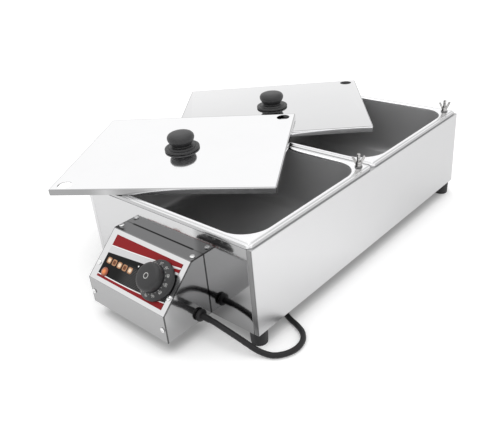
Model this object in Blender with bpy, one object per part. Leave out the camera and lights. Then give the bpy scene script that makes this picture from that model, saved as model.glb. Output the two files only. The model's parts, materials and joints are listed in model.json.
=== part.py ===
"""Countertop chocolate melter with two lift-out pans, two loose lids and a thermostat box.

The origin is the centre of the underside of the base plate. +X is to the user's right,
+Y runs from the control box to the back, and +Z is up. All lengths are in metres.
"""

import math

import bmesh
import bpy
from mathutils import Matrix, Quaternion, Vector

# General

GAP = 0.0003
OVERRUN = 0.004
DEGREE = math.pi / 180
HALF = 0.5

# Casing

CASING_WIDTH = 0.333
CASING_LENGTH = 0.551
CASING_HEIGHT = 0.129
CASING_SHEET = 0.0012
TOP_FLANGE = 0.0095
CORNER_RETURN = 0.0075
BASE_EDGE = 0.010
CROSS_BAR_WIDTH = 0.0200
CROSS_BAR_DEPTH = 0.016

# Feet

FOOT_HEIGHT = 0.022
FOOT_RADIUS = 0.0125
FOOT_TOE_RADIUS = 0.0115
FOOT_INSET_X = 0.013
FOOT_INSET_Y = 0.014
FOOT_RECESS_RADIUS = 0.0056
FOOT_RECESS_DEPTH = 0.009
FOOT_SCREW_RADIUS = 0.0025
FOOT_SCREW_HEAD_RADIUS = 0.0046
FOOT_SCREW_HEAD = 0.003
FOOT_SCREW_END = 0.006

# Pans

PAN_SIDE_MARGIN = 0.0025
PAN_END_MARGIN = 0.0005
PAN_BETWEEN = 0.0020
PAN_WIDTH = CASING_WIDTH - 2 * PAN_SIDE_MARGIN
PAN_LENGTH = (CASING_LENGTH - 2 * PAN_END_MARGIN - PAN_BETWEEN) / 2
PAN_PITCH = PAN_LENGTH + PAN_BETWEEN
PAN_SHEET = 0.0012
PAN_RIM_HEIGHT = 0.0055
PAN_RIM_WIDTH = 0.0113
PAN_DEPTH = 0.095
PAN_CORNER = 0.040
PAN_FLANGE_CORNER = 0.009
PAN_TAPER = 0.010
PAN_FLOOR_RADIUS = 0.018
PAN_LIP_RADIUS = 0.0022

# Pan clamps

STUD_INSET_X = 0.0145
STUD_INSET_Y = 0.015
STUD_RADIUS = 0.0025
STUD_RISE = 0.0205
STUD_BRACKET = 0.002
STUD_BRACKET_WIDTH = 0.0110
STUD_BRACKET_INNER = 0.0042
STUD_BRACKET_OUTER = 0.012
WASHER_RADIUS = 0.0058
WASHER_THICKNESS = 0.0014
WING_HUB_RADIUS = 0.0048
WING_HUB_TOP_RADIUS = 0.0038
WING_HUB_HEIGHT = 0.007
WING_SPAN = 0.0195
WING_HEIGHT = 0.0152
WING_THICKNESS = 0.0018
WING_ROOT_RADIUS = 0.0022
WING_TIP_RADIUS = 0.0016
WING_TURN = -48.4 * DEGREE

# Lids

LID_SIDE_LAP = 0.0055
LID_END_LAP = 0.00075
LID_LENGTH = PAN_WIDTH + 2 * LID_SIDE_LAP
LID_WIDTH = PAN_LENGTH + 2 * LID_END_LAP
LID_HEIGHT = 0.009
LID_SHEET = 0.0010
LID_CORNER = 0.003
LID_EDGE_RADIUS = 0.0012
LID_HOLE_RADIUS = 0.011
LID_FRONT_X = -0.1113
LID_FRONT_BACK = 0.0126
LID_FRONT_YAW = 32.3 * DEGREE
LID_REAR_X = -0.1246
LID_REAR_BACK = -0.0218
LID_REAR_YAW = 39.3 * DEGREE

# Lid knobs

KNOB_BASE_RADIUS = 0.0284
KNOB_BASE_THICKNESS = 0.0040
KNOB_STEP_RADIUS = 0.0210
KNOB_STEP_HEIGHT = 0.0016
KNOB_NECK_RADIUS = 0.0166
KNOB_CAP_RADIUS = 0.0220
KNOB_HEIGHT = 0.0215
KNOB_SHARES = [
    (0.055, 0.768),
    (0.140, 0.815),
    (0.255, 0.868),
    (0.420, 0.936),
    (0.580, 0.986),
    (0.700, 1.000),
    (0.790, 0.982),
    (0.875, 0.923),
    (0.940, 0.810),
    (0.977, 0.636),
    (0.995, 0.386),
    (1.000, 0.100),
]
KNOB_SCREW_RADIUS = 0.002
KNOB_SCREW_HEAD_RADIUS = 0.0045
KNOB_SCREW_HEAD = 0.0025
KNOB_SCREW_BITE = 0.010

# Heaters

ELEMENT_RADIUS = 0.0035
ELEMENT_END_MARGIN = 0.052
ELEMENT_RUN = PAN_LENGTH - 2 * ELEMENT_END_MARGIN
ELEMENT_PITCH = 0.040
ELEMENT_RUNS = 4
TRAY_SIDE_MARGIN = 0.057
TRAY_END_MARGIN = 0.077
TRAY_WIDTH = PAN_WIDTH - 2 * TRAY_SIDE_MARGIN
TRAY_LENGTH = PAN_LENGTH - 2 * TRAY_END_MARGIN
TRAY_SHEET = 0.0015
TRAY_FOOT = 0.012

# Control box

BOX_WIDTH = 0.161
BOX_HEIGHT = 0.0955
BOX_TOP_DEPTH = 0.021
BOX_DEPTH = 0.079
BOX_FRONT_HEIGHT = 0.0422
BOX_SHEET = 0.0012
BOX_FLANGE = 0.012
COVER_SCREW_RADIUS = 0.0016
COVER_SCREW_LENGTH = 0.008
COVER_SCREW_HEAD_RADIUS = 0.0037
COVER_SCREW_HEAD = 0.0020
COVER_SCREW_INSET = 0.0064
COVER_SCREW_TOP = 0.0130
COVER_SCREW_SLOPE = 0.0540
COVER_SCREW_FRONT = 0.0200
COVER_SCREW_SLOT_WIDTH = 0.0009
COVER_SCREW_SLOT_DEPTH = 0.0009

# Face of the control box, measured from its left edge and down the slope

SLOPE_DROP = BOX_HEIGHT - BOX_FRONT_HEIGHT
SLOPE_RUN = BOX_DEPTH - BOX_TOP_DEPTH
SLOPE_LENGTH = math.hypot(SLOPE_DROP, SLOPE_RUN)
LABEL_LEFT = 0.0138
LABEL_RIGHT = 0.0102
LABEL_TOP = 0.0080
LABEL_BOTTOM = 0.0068
LABEL_WIDTH = BOX_WIDTH - LABEL_LEFT - LABEL_RIGHT
LABEL_HEIGHT = SLOPE_LENGTH - LABEL_TOP - LABEL_BOTTOM
LABEL_THICKNESS = 0.0005
DIAL_FROM_RIGHT = 0.0358
DIAL_FROM_BOTTOM = 0.0378
DIAL_ACROSS = BOX_WIDTH - DIAL_FROM_RIGHT
DIAL_DOWN = SLOPE_LENGTH - DIAL_FROM_BOTTOM
DIAL_SKIRT_RADIUS = 0.0282
DIAL_SKIRT_THICKNESS = 0.0045
DIAL_SKIRT_EDGE = 0.0010
DIAL_CONE_RADIUS = 0.0272
DIAL_CONE_TOP_RADIUS = 0.0196
DIAL_CONE_HEIGHT = 0.0055
DIAL_GRIP_BASE_RADIUS = 0.0184
DIAL_GRIP_RADIUS = 0.0196
DIAL_GRIP_HEIGHT = 0.0137
DIAL_GRIP_EDGE = 0.0055
DIAL_STANDOFF = 0.0010
SHAFT_RADIUS = 0.003
SHAFT_BITE = 0.012
THERMOSTAT_SIZE = 0.034
THERMOSTAT_DEPTH = 0.022
THERMOSTAT_NECK_RADIUS = 0.0075
THERMOSTAT_NECK = 0.003
THERMOSTAT_BORE_DEPTH = 0.008
LAMP_ACROSS = 0.0262
LAMP_FROM_BOTTOM = 0.0164
LAMP_DOWN = SLOPE_LENGTH - LAMP_FROM_BOTTOM
LAMP_RADIUS = 0.0066
LAMP_RISE = 0.0022
LAMP_BODY_RADIUS = 0.0050
LAMP_BODY_DEPTH = 0.018

# Wiring

TERMINAL_LENGTH = 0.040
TERMINAL_WIDTH = 0.018
TERMINAL_HEIGHT = 0.016
TERMINAL_FROM_LEFT = 0.0305
TERMINAL_X = TERMINAL_FROM_LEFT - BOX_WIDTH / 2
TERMINAL_FROM_FRONT = -0.040
LEAD_RADIUS = 0.0025
LEAD_HOLE_RADIUS = 0.0030
LEAD_SIDE_MARGIN = 0.0275
CAPILLARY_RADIUS = 0.0009
BULB_RADIUS = 0.0030
BULB_LENGTH = 0.060

# Mains lead, gland and plug

GLAND_FROM_FRONT = -0.0215
GLAND_HEIGHT = 0.0110
GLAND_RADIUS = 0.0095
GLAND_FLANGE = 0.0065
GLAND_BEAD = 0.0016
GLAND_LENGTH = 0.020
GLAND_MOUTH_RADIUS = 0.0052
GLAND_THREAD_RADIUS = 0.0065
GLAND_THREAD = 0.008
CORD_RADIUS = 0.004
CORD_FROM_GLAND = [
    (0.0140, 0.0001, 0.07),
    (0.0272, 0.0009, 0.16),
    (0.0392, 0.0033, 0.33),
    (0.0500, 0.0069, 0.56),
    (0.0600, 0.0110, 0.80),
    (0.0705, 0.0158, 0.96),
]
CORD_ROUND_FOOT = [
    (0.0370, -0.0145),
    (0.0475, -0.0020),
    (0.0520, 0.0140),
    (0.0490, 0.0300),
    (0.0390, 0.0425),
    (0.0245, 0.0500),
    (0.0075, 0.0555),
    (-0.0080, 0.0635),
    (-0.0215, 0.0755),
    (-0.0325, 0.0915),
]
CORD_UNDER_SHARES = [
    (0.133, 0.083),
    (0.295, 0.222),
    (0.476, 0.376),
    (0.667, 0.543),
    (0.848, 0.715),
    (0.962, 0.856),
    (0.995, 0.945),
]
COIL_PITCH = 0.0086
COIL_LAYER = 0.0086
COIL_OUTER = 0.048
COIL_TURNS_IN = 1.5
COIL_TURNS_CLIMB = 0.5
COIL_TURNS_OUT = 1.0
COIL_POINTS = 24
COIL_X = -0.033
COIL_BEHIND = 0.062
COIL_TAIL = 0.040
COIL_TIE_THICKNESS = 0.0009
COIL_TIE_WIDTH = 0.006
PLUG_BOOT = 0.022
PLUG_BOOT_RADIUS = 0.0058
PLUG_LENGTH = 0.034
PLUG_HALF_WIDTH = 0.0175
PLUG_PIN_RADIUS = 0.0024
PLUG_PIN_LENGTH = 0.019
PLUG_PIN_BITE = 0.006
PLUG_PIN_SPACING = 0.019

# Facets

ROUND_LARGE = 32
ROUND_SMALL = 16
CORNER_STEPS = 7
BEND_STEPS = 8

# Places worked out from the sizes above

FRONT_Y = -CASING_LENGTH / 2
REAR_Y = CASING_LENGTH / 2
SIDE_X = CASING_WIDTH / 2
FLOOR_Z = -FOOT_HEIGHT
RIM_Z = CASING_HEIGHT + PAN_RIM_HEIGHT
PAN_FLOOR_Z = RIM_Z - PAN_DEPTH
PAN_UNDERSIDE_Z = PAN_FLOOR_Z - PAN_SHEET
PAN_CENTRES = {"front": -PAN_PITCH / 2, "rear": PAN_PITCH / 2}
LID_SEAT_Z = RIM_Z + GAP
SLOPE_ANGLE = math.atan2(SLOPE_DROP, SLOPE_RUN)
BOX_BACK_Y = FRONT_Y - GAP
BOX_LEFT_X = -BOX_WIDTH / 2
COVER_SEAT = BOX_SHEET + GAP


def clear_scene():
    for old in list(bpy.data.objects):
        bpy.data.objects.remove(old)


# Materials


def finish(name, colour, roughness, metallic):
    material = bpy.data.materials.get(name)
    if material:
        return material
    material = bpy.data.materials.new(name)
    material.use_nodes = True
    material.diffuse_color = (*colour, 1.0)
    shader = material.node_tree.nodes["Principled BSDF"]
    shader.inputs["Base Color"].default_value = (*colour, 1.0)
    shader.inputs["Roughness"].default_value = roughness
    shader.inputs["Metallic"].default_value = metallic
    return material


def satin_steel():
    return finish("satin_steel", (0.74, 0.74, 0.75), 0.30, 1.0)


def bright_steel():
    return finish("bright_steel", (0.82, 0.82, 0.83), 0.10, 1.0)


def pan_steel():
    return finish("pan_steel", (0.55, 0.55, 0.56), 0.35, 1.0)


def screw_steel():
    return finish("screw_steel", (0.70, 0.70, 0.70), 0.25, 1.0)


def galvanised_steel():
    return finish("galvanised_steel", (0.60, 0.62, 0.64), 0.45, 1.0)


def black_plastic():
    return finish("black_plastic", (0.030, 0.030, 0.032), 0.40, 0.0)


def black_rubber():
    return finish("black_rubber", (0.025, 0.025, 0.027), 0.65, 0.0)


def amber_lens():
    return finish("amber_lens", (0.85, 0.33, 0.08), 0.20, 0.0)


def printed_label():
    return finish("printed_label", (0.05, 0.04, 0.04), 0.30, 0.0)


def white_plastic():
    return finish("white_plastic", (0.80, 0.79, 0.75), 0.45, 0.0)


def element_steel():
    return finish("element_steel", (0.36, 0.34, 0.32), 0.50, 1.0)


def copper():
    return finish("copper", (0.72, 0.40, 0.25), 0.30, 1.0)


def brass():
    return finish("brass", (0.78, 0.62, 0.32), 0.25, 1.0)


def red_sleeve():
    return finish("red_sleeve", (0.45, 0.09, 0.06), 0.60, 0.0)


# Building blocks


def frame(name, matrix):
    """An empty that carries the pieces of one sub-assembly."""
    empty = bpy.data.objects.new(name, None)
    bpy.context.scene.collection.objects.link(empty)
    empty.matrix_world = matrix
    return empty


def shape(bm, name="tool"):
    """Turn an edit mesh into an object at the origin."""
    bmesh.ops.recalc_face_normals(bm, faces=bm.faces[:])
    mesh = bpy.data.meshes.new(name)
    bm.to_mesh(mesh)
    bm.free()
    solid = bpy.data.objects.new(name, mesh)
    bpy.context.scene.collection.objects.link(solid)
    return solid


def box(low, high):
    bm = bmesh.new()
    bmesh.ops.create_cube(bm, size=1.0)
    size = Vector(high) - Vector(low)
    centre = (Vector(high) + Vector(low)) / 2
    bmesh.ops.scale(bm, vec=size, verts=bm.verts[:])
    bmesh.ops.translate(bm, vec=centre, verts=bm.verts[:])
    return shape(bm)


def prism(outline, low, high):
    """Extrude an outline of (y, z) points along X from low to high."""
    bm = bmesh.new()
    ring = [bm.verts.new((low, y, z)) for y, z in outline]
    face = bm.faces.new(ring)
    grown = bmesh.ops.extrude_face_region(bm, geom=[face])["geom"]
    moved = [item for item in grown if isinstance(item, bmesh.types.BMVert)]
    bmesh.ops.translate(bm, vec=(high - low, 0, 0), verts=moved)
    return shape(bm)


def stack(loops):
    """Join loops of equal length in order, and close the first and the last."""
    bm = bmesh.new()
    rings = [[bm.verts.new(point) for point in loop] for loop in loops]
    for lower, upper in zip(rings, rings[1:]):
        count = len(lower)
        for i in range(count):
            j = (i + 1) % count
            bm.faces.new((lower[i], lower[j], upper[j], upper[i]))
    bm.faces.new(list(reversed(rings[0])))
    bm.faces.new(rings[-1])
    return shape(bm)


def turn(profile, segments, centre=(0, 0)):
    """Turn a profile of (radius, height) points about a vertical axis."""
    loops = []
    for radius, height in profile:
        loop = []
        for i in range(segments):
            angle = 2 * math.pi * i / segments
            x = centre[0] + radius * math.cos(angle)
            y = centre[1] + radius * math.sin(angle)
            loop.append((x, y, height))
        loops.append(loop)
    return stack(loops)


def cylinder(radius, low, high, segments=ROUND_SMALL, centre=(0, 0)):
    return turn([(radius, low), (radius, high)], segments, centre)


def lying(solid, place, axis):
    """Point a solid's local Z along an axis and move its origin to a place."""
    turned = Vector((0, 0, 1)).rotation_difference(Vector(axis)).to_matrix().to_4x4()
    solid.data.transform(Matrix.Translation(Vector(place)) @ turned)
    return solid


def rounded_rectangle(half_x, half_y, radius, height):
    points = []
    corners = ((1, 1, 0), (-1, 1, 1), (-1, -1, 2), (1, -1, 3))
    for sign_x, sign_y, quarter in corners:
        for step in range(CORNER_STEPS + 1):
            angle = (quarter + step / CORNER_STEPS) * math.pi / 2
            x = sign_x * (half_x - radius) + radius * math.cos(angle)
            y = sign_y * (half_y - radius) + radius * math.sin(angle)
            points.append((x, y, height))
    return points


def arc(steps, first=0.0, last=math.pi / 2):
    return [first + (last - first) * i / steps for i in range(steps + 1)]


def length_of(points):
    return sum((Vector(q) - Vector(p)).length for p, q in zip(points, points[1:]))


def smooth_through(points, spacing):
    """Points a spacing apart along a smooth curve through a route, never below its lowest."""
    route = [Vector(p) for p in points]
    route = [2 * route[0] - route[1]] + route + [2 * route[-1] - route[-2]]
    fine = []
    for a, b, c, d in zip(route, route[1:], route[2:], route[3:]):
        t1 = math.sqrt((b - a).length)
        t2 = t1 + math.sqrt((c - b).length)
        t3 = t2 + math.sqrt((d - c).length)
        steps = max(2, round((c - b).length / spacing * 6))
        for i in range(steps):
            t = t1 + (t2 - t1) * i / steps
            ab = a * ((t1 - t) / t1) + b * (t / t1)
            bc = b * ((t2 - t) / (t2 - t1)) + c * ((t - t1) / (t2 - t1))
            cd = c * ((t3 - t) / (t3 - t2)) + d * ((t - t2) / (t3 - t2))
            abc = ab * ((t2 - t) / t2) + bc * (t / t2)
            bcd = bc * ((t3 - t) / (t3 - t1)) + cd * ((t - t1) / (t3 - t1))
            fine.append(abc * ((t2 - t) / (t2 - t1)) + bcd * ((t - t1) / (t2 - t1)))
    fine.append(route[-2])
    lowest = min(p.z for p in route[1:-1])
    for point in fine:
        point.z = max(point.z, lowest)
    total = length_of(fine)
    count = max(2, round(total / spacing))
    wanted = [total * i / count for i in range(count + 1)]
    out = [fine[0]]
    walked = 0.0
    for p, q in zip(fine, fine[1:]):
        step = (q - p).length
        while len(out) < count and walked + step >= wanted[len(out)]:
            share = (wanted[len(out)] - walked) / step
            out.append(p.lerp(q, share))
        walked += step
    return out + [fine[-1]]


def tube(name, points, radius, resolution, material, radii=None):
    """A round tube with closed ends along a line of points."""
    curve = bpy.data.curves.new(name, "CURVE")
    curve.dimensions = "3D"
    curve.bevel_depth = radius
    curve.bevel_resolution = resolution
    curve.use_fill_caps = True
    spline = curve.splines.new("POLY")
    spline.points.add(len(points) - 1)
    for i, point in enumerate(points):
        spline.points[i].co = (*point, 1.0)
        spline.points[i].radius = radii[i] if radii else 1.0
    spline.use_smooth = True
    curve.materials.append(material)
    solid = bpy.data.objects.new(name, curve)
    bpy.context.scene.collection.objects.link(solid)
    return solid


def combine(target, tool, operation):
    """Join or cut with a Boolean whose result replaces the target's mesh."""
    modifier = target.modifiers.new("shape", "BOOLEAN")
    modifier.object = tool
    modifier.operation = operation
    modifier.solver = "EXACT"
    bpy.context.view_layer.update()
    graph = bpy.context.evaluated_depsgraph_get()
    mesh = bpy.data.meshes.new_from_object(target.evaluated_get(graph))
    target.modifiers.clear()
    target.data = mesh
    bpy.data.objects.remove(tool)
    return target


def cut(target, *tools):
    for tool in tools:
        combine(target, tool, "DIFFERENCE")
    return target


def join(target, *tools):
    for tool in tools:
        combine(target, tool, "UNION")
    return target


def piece(solid, name, material, parent=None, place=(0, 0, 0), smooth=30 * DEGREE):
    """Name a finished solid, give it its material and carry it on its frame."""
    solid.name = name
    solid.data.name = name
    solid.data.materials.clear()
    solid.data.materials.append(material)
    solid.data.shade_smooth()
    solid.data.set_sharp_from_angle(angle=smooth)
    if parent:
        solid.parent = parent
    solid.location = place
    return solid


# Casing


def side_panel(side):
    """One side with its inward top flange and the narrow returns at both corners."""
    inner = SIDE_X - CASING_SHEET
    solid = box((SIDE_X - TOP_FLANGE, FRONT_Y, 0), (SIDE_X, REAR_Y, CASING_HEIGHT))
    hollow = box(
        (SIDE_X - TOP_FLANGE - OVERRUN, FRONT_Y + CASING_SHEET, -OVERRUN),
        (inner, REAR_Y - CASING_SHEET, CASING_HEIGHT - CASING_SHEET),
    )
    cut(solid, hollow)
    for low, high in ((FRONT_Y, FRONT_Y + TOP_FLANGE), (REAR_Y - TOP_FLANGE, REAR_Y)):
        notch = box(
            (SIDE_X - TOP_FLANGE - OVERRUN, low - OVERRUN, -OVERRUN),
            (SIDE_X - CORNER_RETURN, high, CASING_HEIGHT + OVERRUN),
        )
        cut(solid, notch)
    if side < 0:
        solid.data.transform(Matrix.Scale(-1, 4, Vector((1, 0, 0))))
        solid.data.flip_normals()
    return solid


def end_panel(outer_y, inward):
    """The front or rear sheet between the corner returns, with its top flange."""
    half = SIDE_X - CORNER_RETURN - GAP
    near = sorted((outer_y, outer_y + inward * TOP_FLANGE))
    solid = box((-half, near[0], 0), (half, near[1], CASING_HEIGHT))
    behind = sorted((outer_y + inward * CASING_SHEET, outer_y + inward * (TOP_FLANGE + OVERRUN)))
    hollow = box(
        (-half - OVERRUN, behind[0], -OVERRUN),
        (half + OVERRUN, behind[1], CASING_HEIGHT - CASING_SHEET),
    )
    return cut(solid, hollow)


def lead_holes():
    """Places in the front panel where the wiring and the capillary pass."""
    return {
        "front": (element_end("front").x, element_height()),
        "rear": (BOX_LEFT_X + BOX_FLANGE, TERMINAL_HEIGHT + TERMINAL_WIDTH / 2),
        "capillary": (-ELEMENT_PITCH, bulb_height()),
    }


def casing():
    piece(side_panel(-1), "side_panel_left", satin_steel())
    piece(side_panel(1), "side_panel_right", satin_steel())
    front = end_panel(FRONT_Y, 1)
    for x, z in lead_holes().values():
        drill = cylinder(LEAD_HOLE_RADIUS, -OVERRUN, OVERRUN)
        cut(front, lying(drill, (x, FRONT_Y, z), (0, 1, 0)))
    piece(front, "front_panel", bright_steel())
    piece(end_panel(REAR_Y, -1), "rear_panel", satin_steel())
    base_plate()
    cross_bar()


def foot_places():
    x = SIDE_X - FOOT_INSET_X
    y = REAR_Y - FOOT_INSET_Y
    return {
        "front_left": (-x, -y),
        "front_right": (x, -y),
        "rear_left": (-x, y),
        "rear_right": (x, y),
    }


def base_plate():
    half_x = SIDE_X - CASING_SHEET - GAP
    half_y = REAR_Y - CASING_SHEET - GAP
    solid = box((-half_x, -half_y, 0), (half_x, half_y, BASE_EDGE))
    hollow = box(
        (-half_x + CASING_SHEET, -half_y + CASING_SHEET, CASING_SHEET),
        (half_x - CASING_SHEET, half_y - CASING_SHEET, BASE_EDGE + OVERRUN),
    )
    cut(solid, hollow)
    for place in foot_places().values():
        cut(solid, cylinder(FOOT_SCREW_RADIUS + GAP, -OVERRUN, OVERRUN, centre=place))
    piece(solid, "base_plate", galvanised_steel())


def cross_bar():
    """A channel under the rims where the pans meet, with its ends below the side flanges."""
    half = CROSS_BAR_WIDTH / 2
    end = SIDE_X - TOP_FLANGE - GAP
    tab_end = SIDE_X - CASING_SHEET - GAP
    shelf = CASING_HEIGHT - CASING_SHEET - GAP
    floor = CASING_HEIGHT - CROSS_BAR_DEPTH
    solid = box((-end, -half, floor), (end, half, CASING_HEIGHT))
    join(solid, box((-tab_end, -half, floor), (tab_end, half, shelf)))
    hollow = box(
        (-tab_end - OVERRUN, CASING_SHEET - half, floor - OVERRUN),
        (tab_end + OVERRUN, half - CASING_SHEET, shelf - CASING_SHEET),
    )
    piece(cut(solid, hollow), "cross_bar", galvanised_steel())


# Feet


def foot():
    profile = [(FOOT_TOE_RADIUS, FLOOR_Z), (FOOT_RADIUS, -GAP)]
    solid = turn(profile, ROUND_LARGE)
    cut(solid, cylinder(FOOT_RECESS_RADIUS, FLOOR_Z - OVERRUN, FLOOR_Z + FOOT_RECESS_DEPTH))
    return cut(solid, cylinder(FOOT_SCREW_RADIUS + GAP, FLOOR_Z, OVERRUN))


def foot_screw():
    top = FLOOR_Z + FOOT_RECESS_DEPTH - GAP
    profile = [
        (FOOT_SCREW_HEAD_RADIUS, top - FOOT_SCREW_HEAD),
        (FOOT_SCREW_HEAD_RADIUS, top),
        (FOOT_SCREW_RADIUS, top),
        (FOOT_SCREW_RADIUS, FOOT_SCREW_END),
    ]
    return turn(profile, ROUND_SMALL)


def feet():
    for name, place in foot_places().items():
        piece(foot(), "foot_" + name, black_rubber(), place=(*place, 0))
        piece(foot_screw(), "foot_screw_" + name, screw_steel(), place=(*place, 0))


# Pans


def pan_loops():
    """Loops from the inner floor over the rim and down to the outer floor."""
    half_x = PAN_WIDTH / 2
    half_y = PAN_LENGTH / 2
    open_x = half_x - PAN_RIM_WIDTH
    open_y = half_y - PAN_RIM_WIDTH
    bend = PAN_FLOOR_RADIUS
    lip = PAN_LIP_RADIUS

    def wall(inset, height):
        radius = PAN_CORNER - inset
        return rounded_rectangle(open_x - inset, open_y - inset, radius, height)

    def flange(inset, height):
        radius = PAN_FLANGE_CORNER - inset
        return rounded_rectangle(half_x - inset, half_y - inset, radius, height)

    inside = []
    for angle in arc(BEND_STEPS // 2):
        inset = PAN_TAPER + bend * (1 - math.sin(angle))
        inside.append(wall(inset, PAN_FLOOR_Z + bend * (1 - math.cos(angle))))
    for angle in arc(2):
        inside.append(wall(-lip * (1 - math.cos(angle)), RIM_Z - lip * (1 - math.sin(angle))))
    rim = [
        flange(PAN_SHEET, RIM_Z),
        flange(0, RIM_Z - PAN_SHEET),
        flange(0, CASING_HEIGHT + GAP),
        flange(PAN_SHEET, CASING_HEIGHT + GAP),
        flange(PAN_SHEET, RIM_Z - PAN_SHEET),
    ]
    outside = [wall(-PAN_SHEET, RIM_Z - PAN_SHEET)]
    for angle in reversed(arc(BEND_STEPS // 2)):
        inset = PAN_TAPER - PAN_SHEET + (bend + PAN_SHEET) * (1 - math.sin(angle))
        height = PAN_UNDERSIDE_Z + (bend + PAN_SHEET) * (1 - math.cos(angle))
        outside.append(wall(inset, height))
    return inside + rim + outside


def stud_offset():
    """From a pan's centre to its clamping stud."""
    return PAN_WIDTH / 2 - STUD_INSET_X, PAN_LENGTH / 2 - STUD_INSET_Y


def pan():
    solid = stack(pan_loops())
    x, y = stud_offset()
    drill = cylinder(STUD_RADIUS + GAP, CASING_HEIGHT, RIM_Z + OVERRUN, centre=(x, y))
    return cut(solid, drill)


def stud():
    """A threaded stud on the small bracket that hangs under the side flange."""
    top = CASING_HEIGHT - CASING_SHEET - GAP
    dome = STUD_RADIUS / 3
    profile = [
        (STUD_RADIUS, top - STUD_BRACKET / 2),
        (STUD_RADIUS, RIM_Z + STUD_RISE - STUD_RADIUS),
        (STUD_RADIUS - dome / 2, RIM_Z + STUD_RISE - dome * 2),
        (STUD_RADIUS - dome * 2, RIM_Z + STUD_RISE),
    ]
    solid = turn(profile, ROUND_SMALL)
    half = STUD_BRACKET_WIDTH / 2
    plate = box((-STUD_BRACKET_INNER, -half, top - STUD_BRACKET), (STUD_BRACKET_OUTER, half, top))
    return join(solid, plate)


def washer():
    low = RIM_Z + GAP
    solid = cylinder(WASHER_RADIUS, low, low + WASHER_THICKNESS, ROUND_LARGE)
    return cut(solid, cylinder(STUD_RADIUS + GAP, low - OVERRUN, low + OVERRUN))


def wing_nut():
    """A turned hub with two slanting wings, bored for the stud."""
    solid = turn([(WING_HUB_RADIUS, 0), (WING_HUB_TOP_RADIUS, WING_HUB_HEIGHT)], ROUND_LARGE)
    tip = Vector((WING_SPAN / 2 - WING_TIP_RADIUS, WING_HEIGHT - WING_TIP_RADIUS))
    root = Vector((WING_HUB_TOP_RADIUS - WING_THICKNESS / 2, WING_HUB_HEIGHT * HALF))
    lean = math.atan2(tip.y - root.y, tip.x - root.x)
    across = Vector((-math.sin(lean), math.cos(lean))) * WING_ROOT_RADIUS
    outline = [root + across, root - across]
    for angle in arc(BEND_STEPS, lean - math.pi / 2, lean + math.pi / 2):
        outline.append(tip + WING_TIP_RADIUS * Vector((math.cos(angle), math.sin(angle))))
    for side in (1, -1):
        arm = [(side * point.x, point.y) for point in outline]
        join(solid, prism(arm, -WING_THICKNESS / 2, WING_THICKNESS / 2))
    return cut(solid, cylinder(STUD_RADIUS + GAP, -OVERRUN, WING_HEIGHT + OVERRUN))


def pans_and_clamps():
    x, y = stud_offset()
    seat = RIM_Z + 2 * GAP + WASHER_THICKNESS
    for name, centre in PAN_CENTRES.items():
        piece(pan(), "pan_" + name, pan_steel(), place=(0, centre, 0))
        piece(stud(), "pan_stud_" + name, screw_steel(), place=(x, centre + y, 0))
        piece(washer(), "washer_" + name, screw_steel(), place=(x, centre + y, 0))
        nut = piece(wing_nut(), "wing_nut_" + name, bright_steel(), place=(x, centre + y, seat))
        nut.rotation_euler = (0, 0, WING_TURN)


# Lids


def lid_corners(place_x, place_y, yaw):
    """Plan positions of a level lid's front left, front right, rear right and rear left."""
    turned = Matrix.Rotation(yaw, 2)
    half = (LID_LENGTH / 2, LID_WIDTH / 2)
    signs = ((-1, -1), (1, -1), (1, 1), (-1, 1))
    centre = Vector((place_x, place_y))
    return [centre + turned @ Vector((half[0] * a, half[1] * b)) for a, b in signs]


def crossing(a, b, c, d):
    """Where the line through a and b meets the line through c and d."""
    along = b - a
    other = d - c
    t = (c - a).cross(other) / along.cross(other)
    return a + along * t


def lid_rear_matrix():
    """The rear lid lies level on the pan rims, pushed to the left and turned."""
    place = (LID_REAR_X, PAN_CENTRES["rear"] + LID_REAR_BACK, LID_SEAT_Z)
    return Matrix.Translation(place) @ Matrix.Rotation(LID_REAR_YAW, 4, "Z")


def lid_front_matrix():
    """The front lid rests with its back edge on the rear lid and its front edge on the rim."""
    x = LID_FRONT_X
    y = PAN_CENTRES["front"] + LID_FRONT_BACK
    upper = lid_corners(x, y, LID_FRONT_YAW)
    lower = lid_corners(LID_REAR_X, PAN_CENTRES["rear"] + LID_REAR_BACK, LID_REAR_YAW)
    rim_y = PAN_CENTRES["front"] - PAN_LENGTH / 2
    left = crossing(upper[3], upper[2], lower[0], lower[3])
    right = crossing(upper[1], upper[2], lower[0], lower[1])
    near = crossing(upper[0], upper[1], Vector((-SIDE_X, rim_y)), Vector((SIDE_X, rim_y)))
    on_lid = LID_SEAT_Z + LID_HEIGHT + GAP
    a = Vector((*left, on_lid))
    b = Vector((*right, on_lid))
    c = Vector((*near, LID_SEAT_Z))
    normal = (b - a).cross(c - a).normalized()
    if normal.z < 0:
        normal = -normal
    z = a.z - (normal.x * (x - a.x) + normal.y * (y - a.y)) / normal.z
    tilt = Vector((0, 0, 1)).rotation_difference(normal).to_matrix().to_4x4()
    return Matrix.Translation((x, y, z)) @ tilt @ Matrix.Rotation(LID_FRONT_YAW, 4, "Z")


def lid_hole_places():
    """The two holes at opposite corners, each over the stud when the lid is square on."""
    x, y = stud_offset()
    return ((x, y), (-x, -y))


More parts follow.
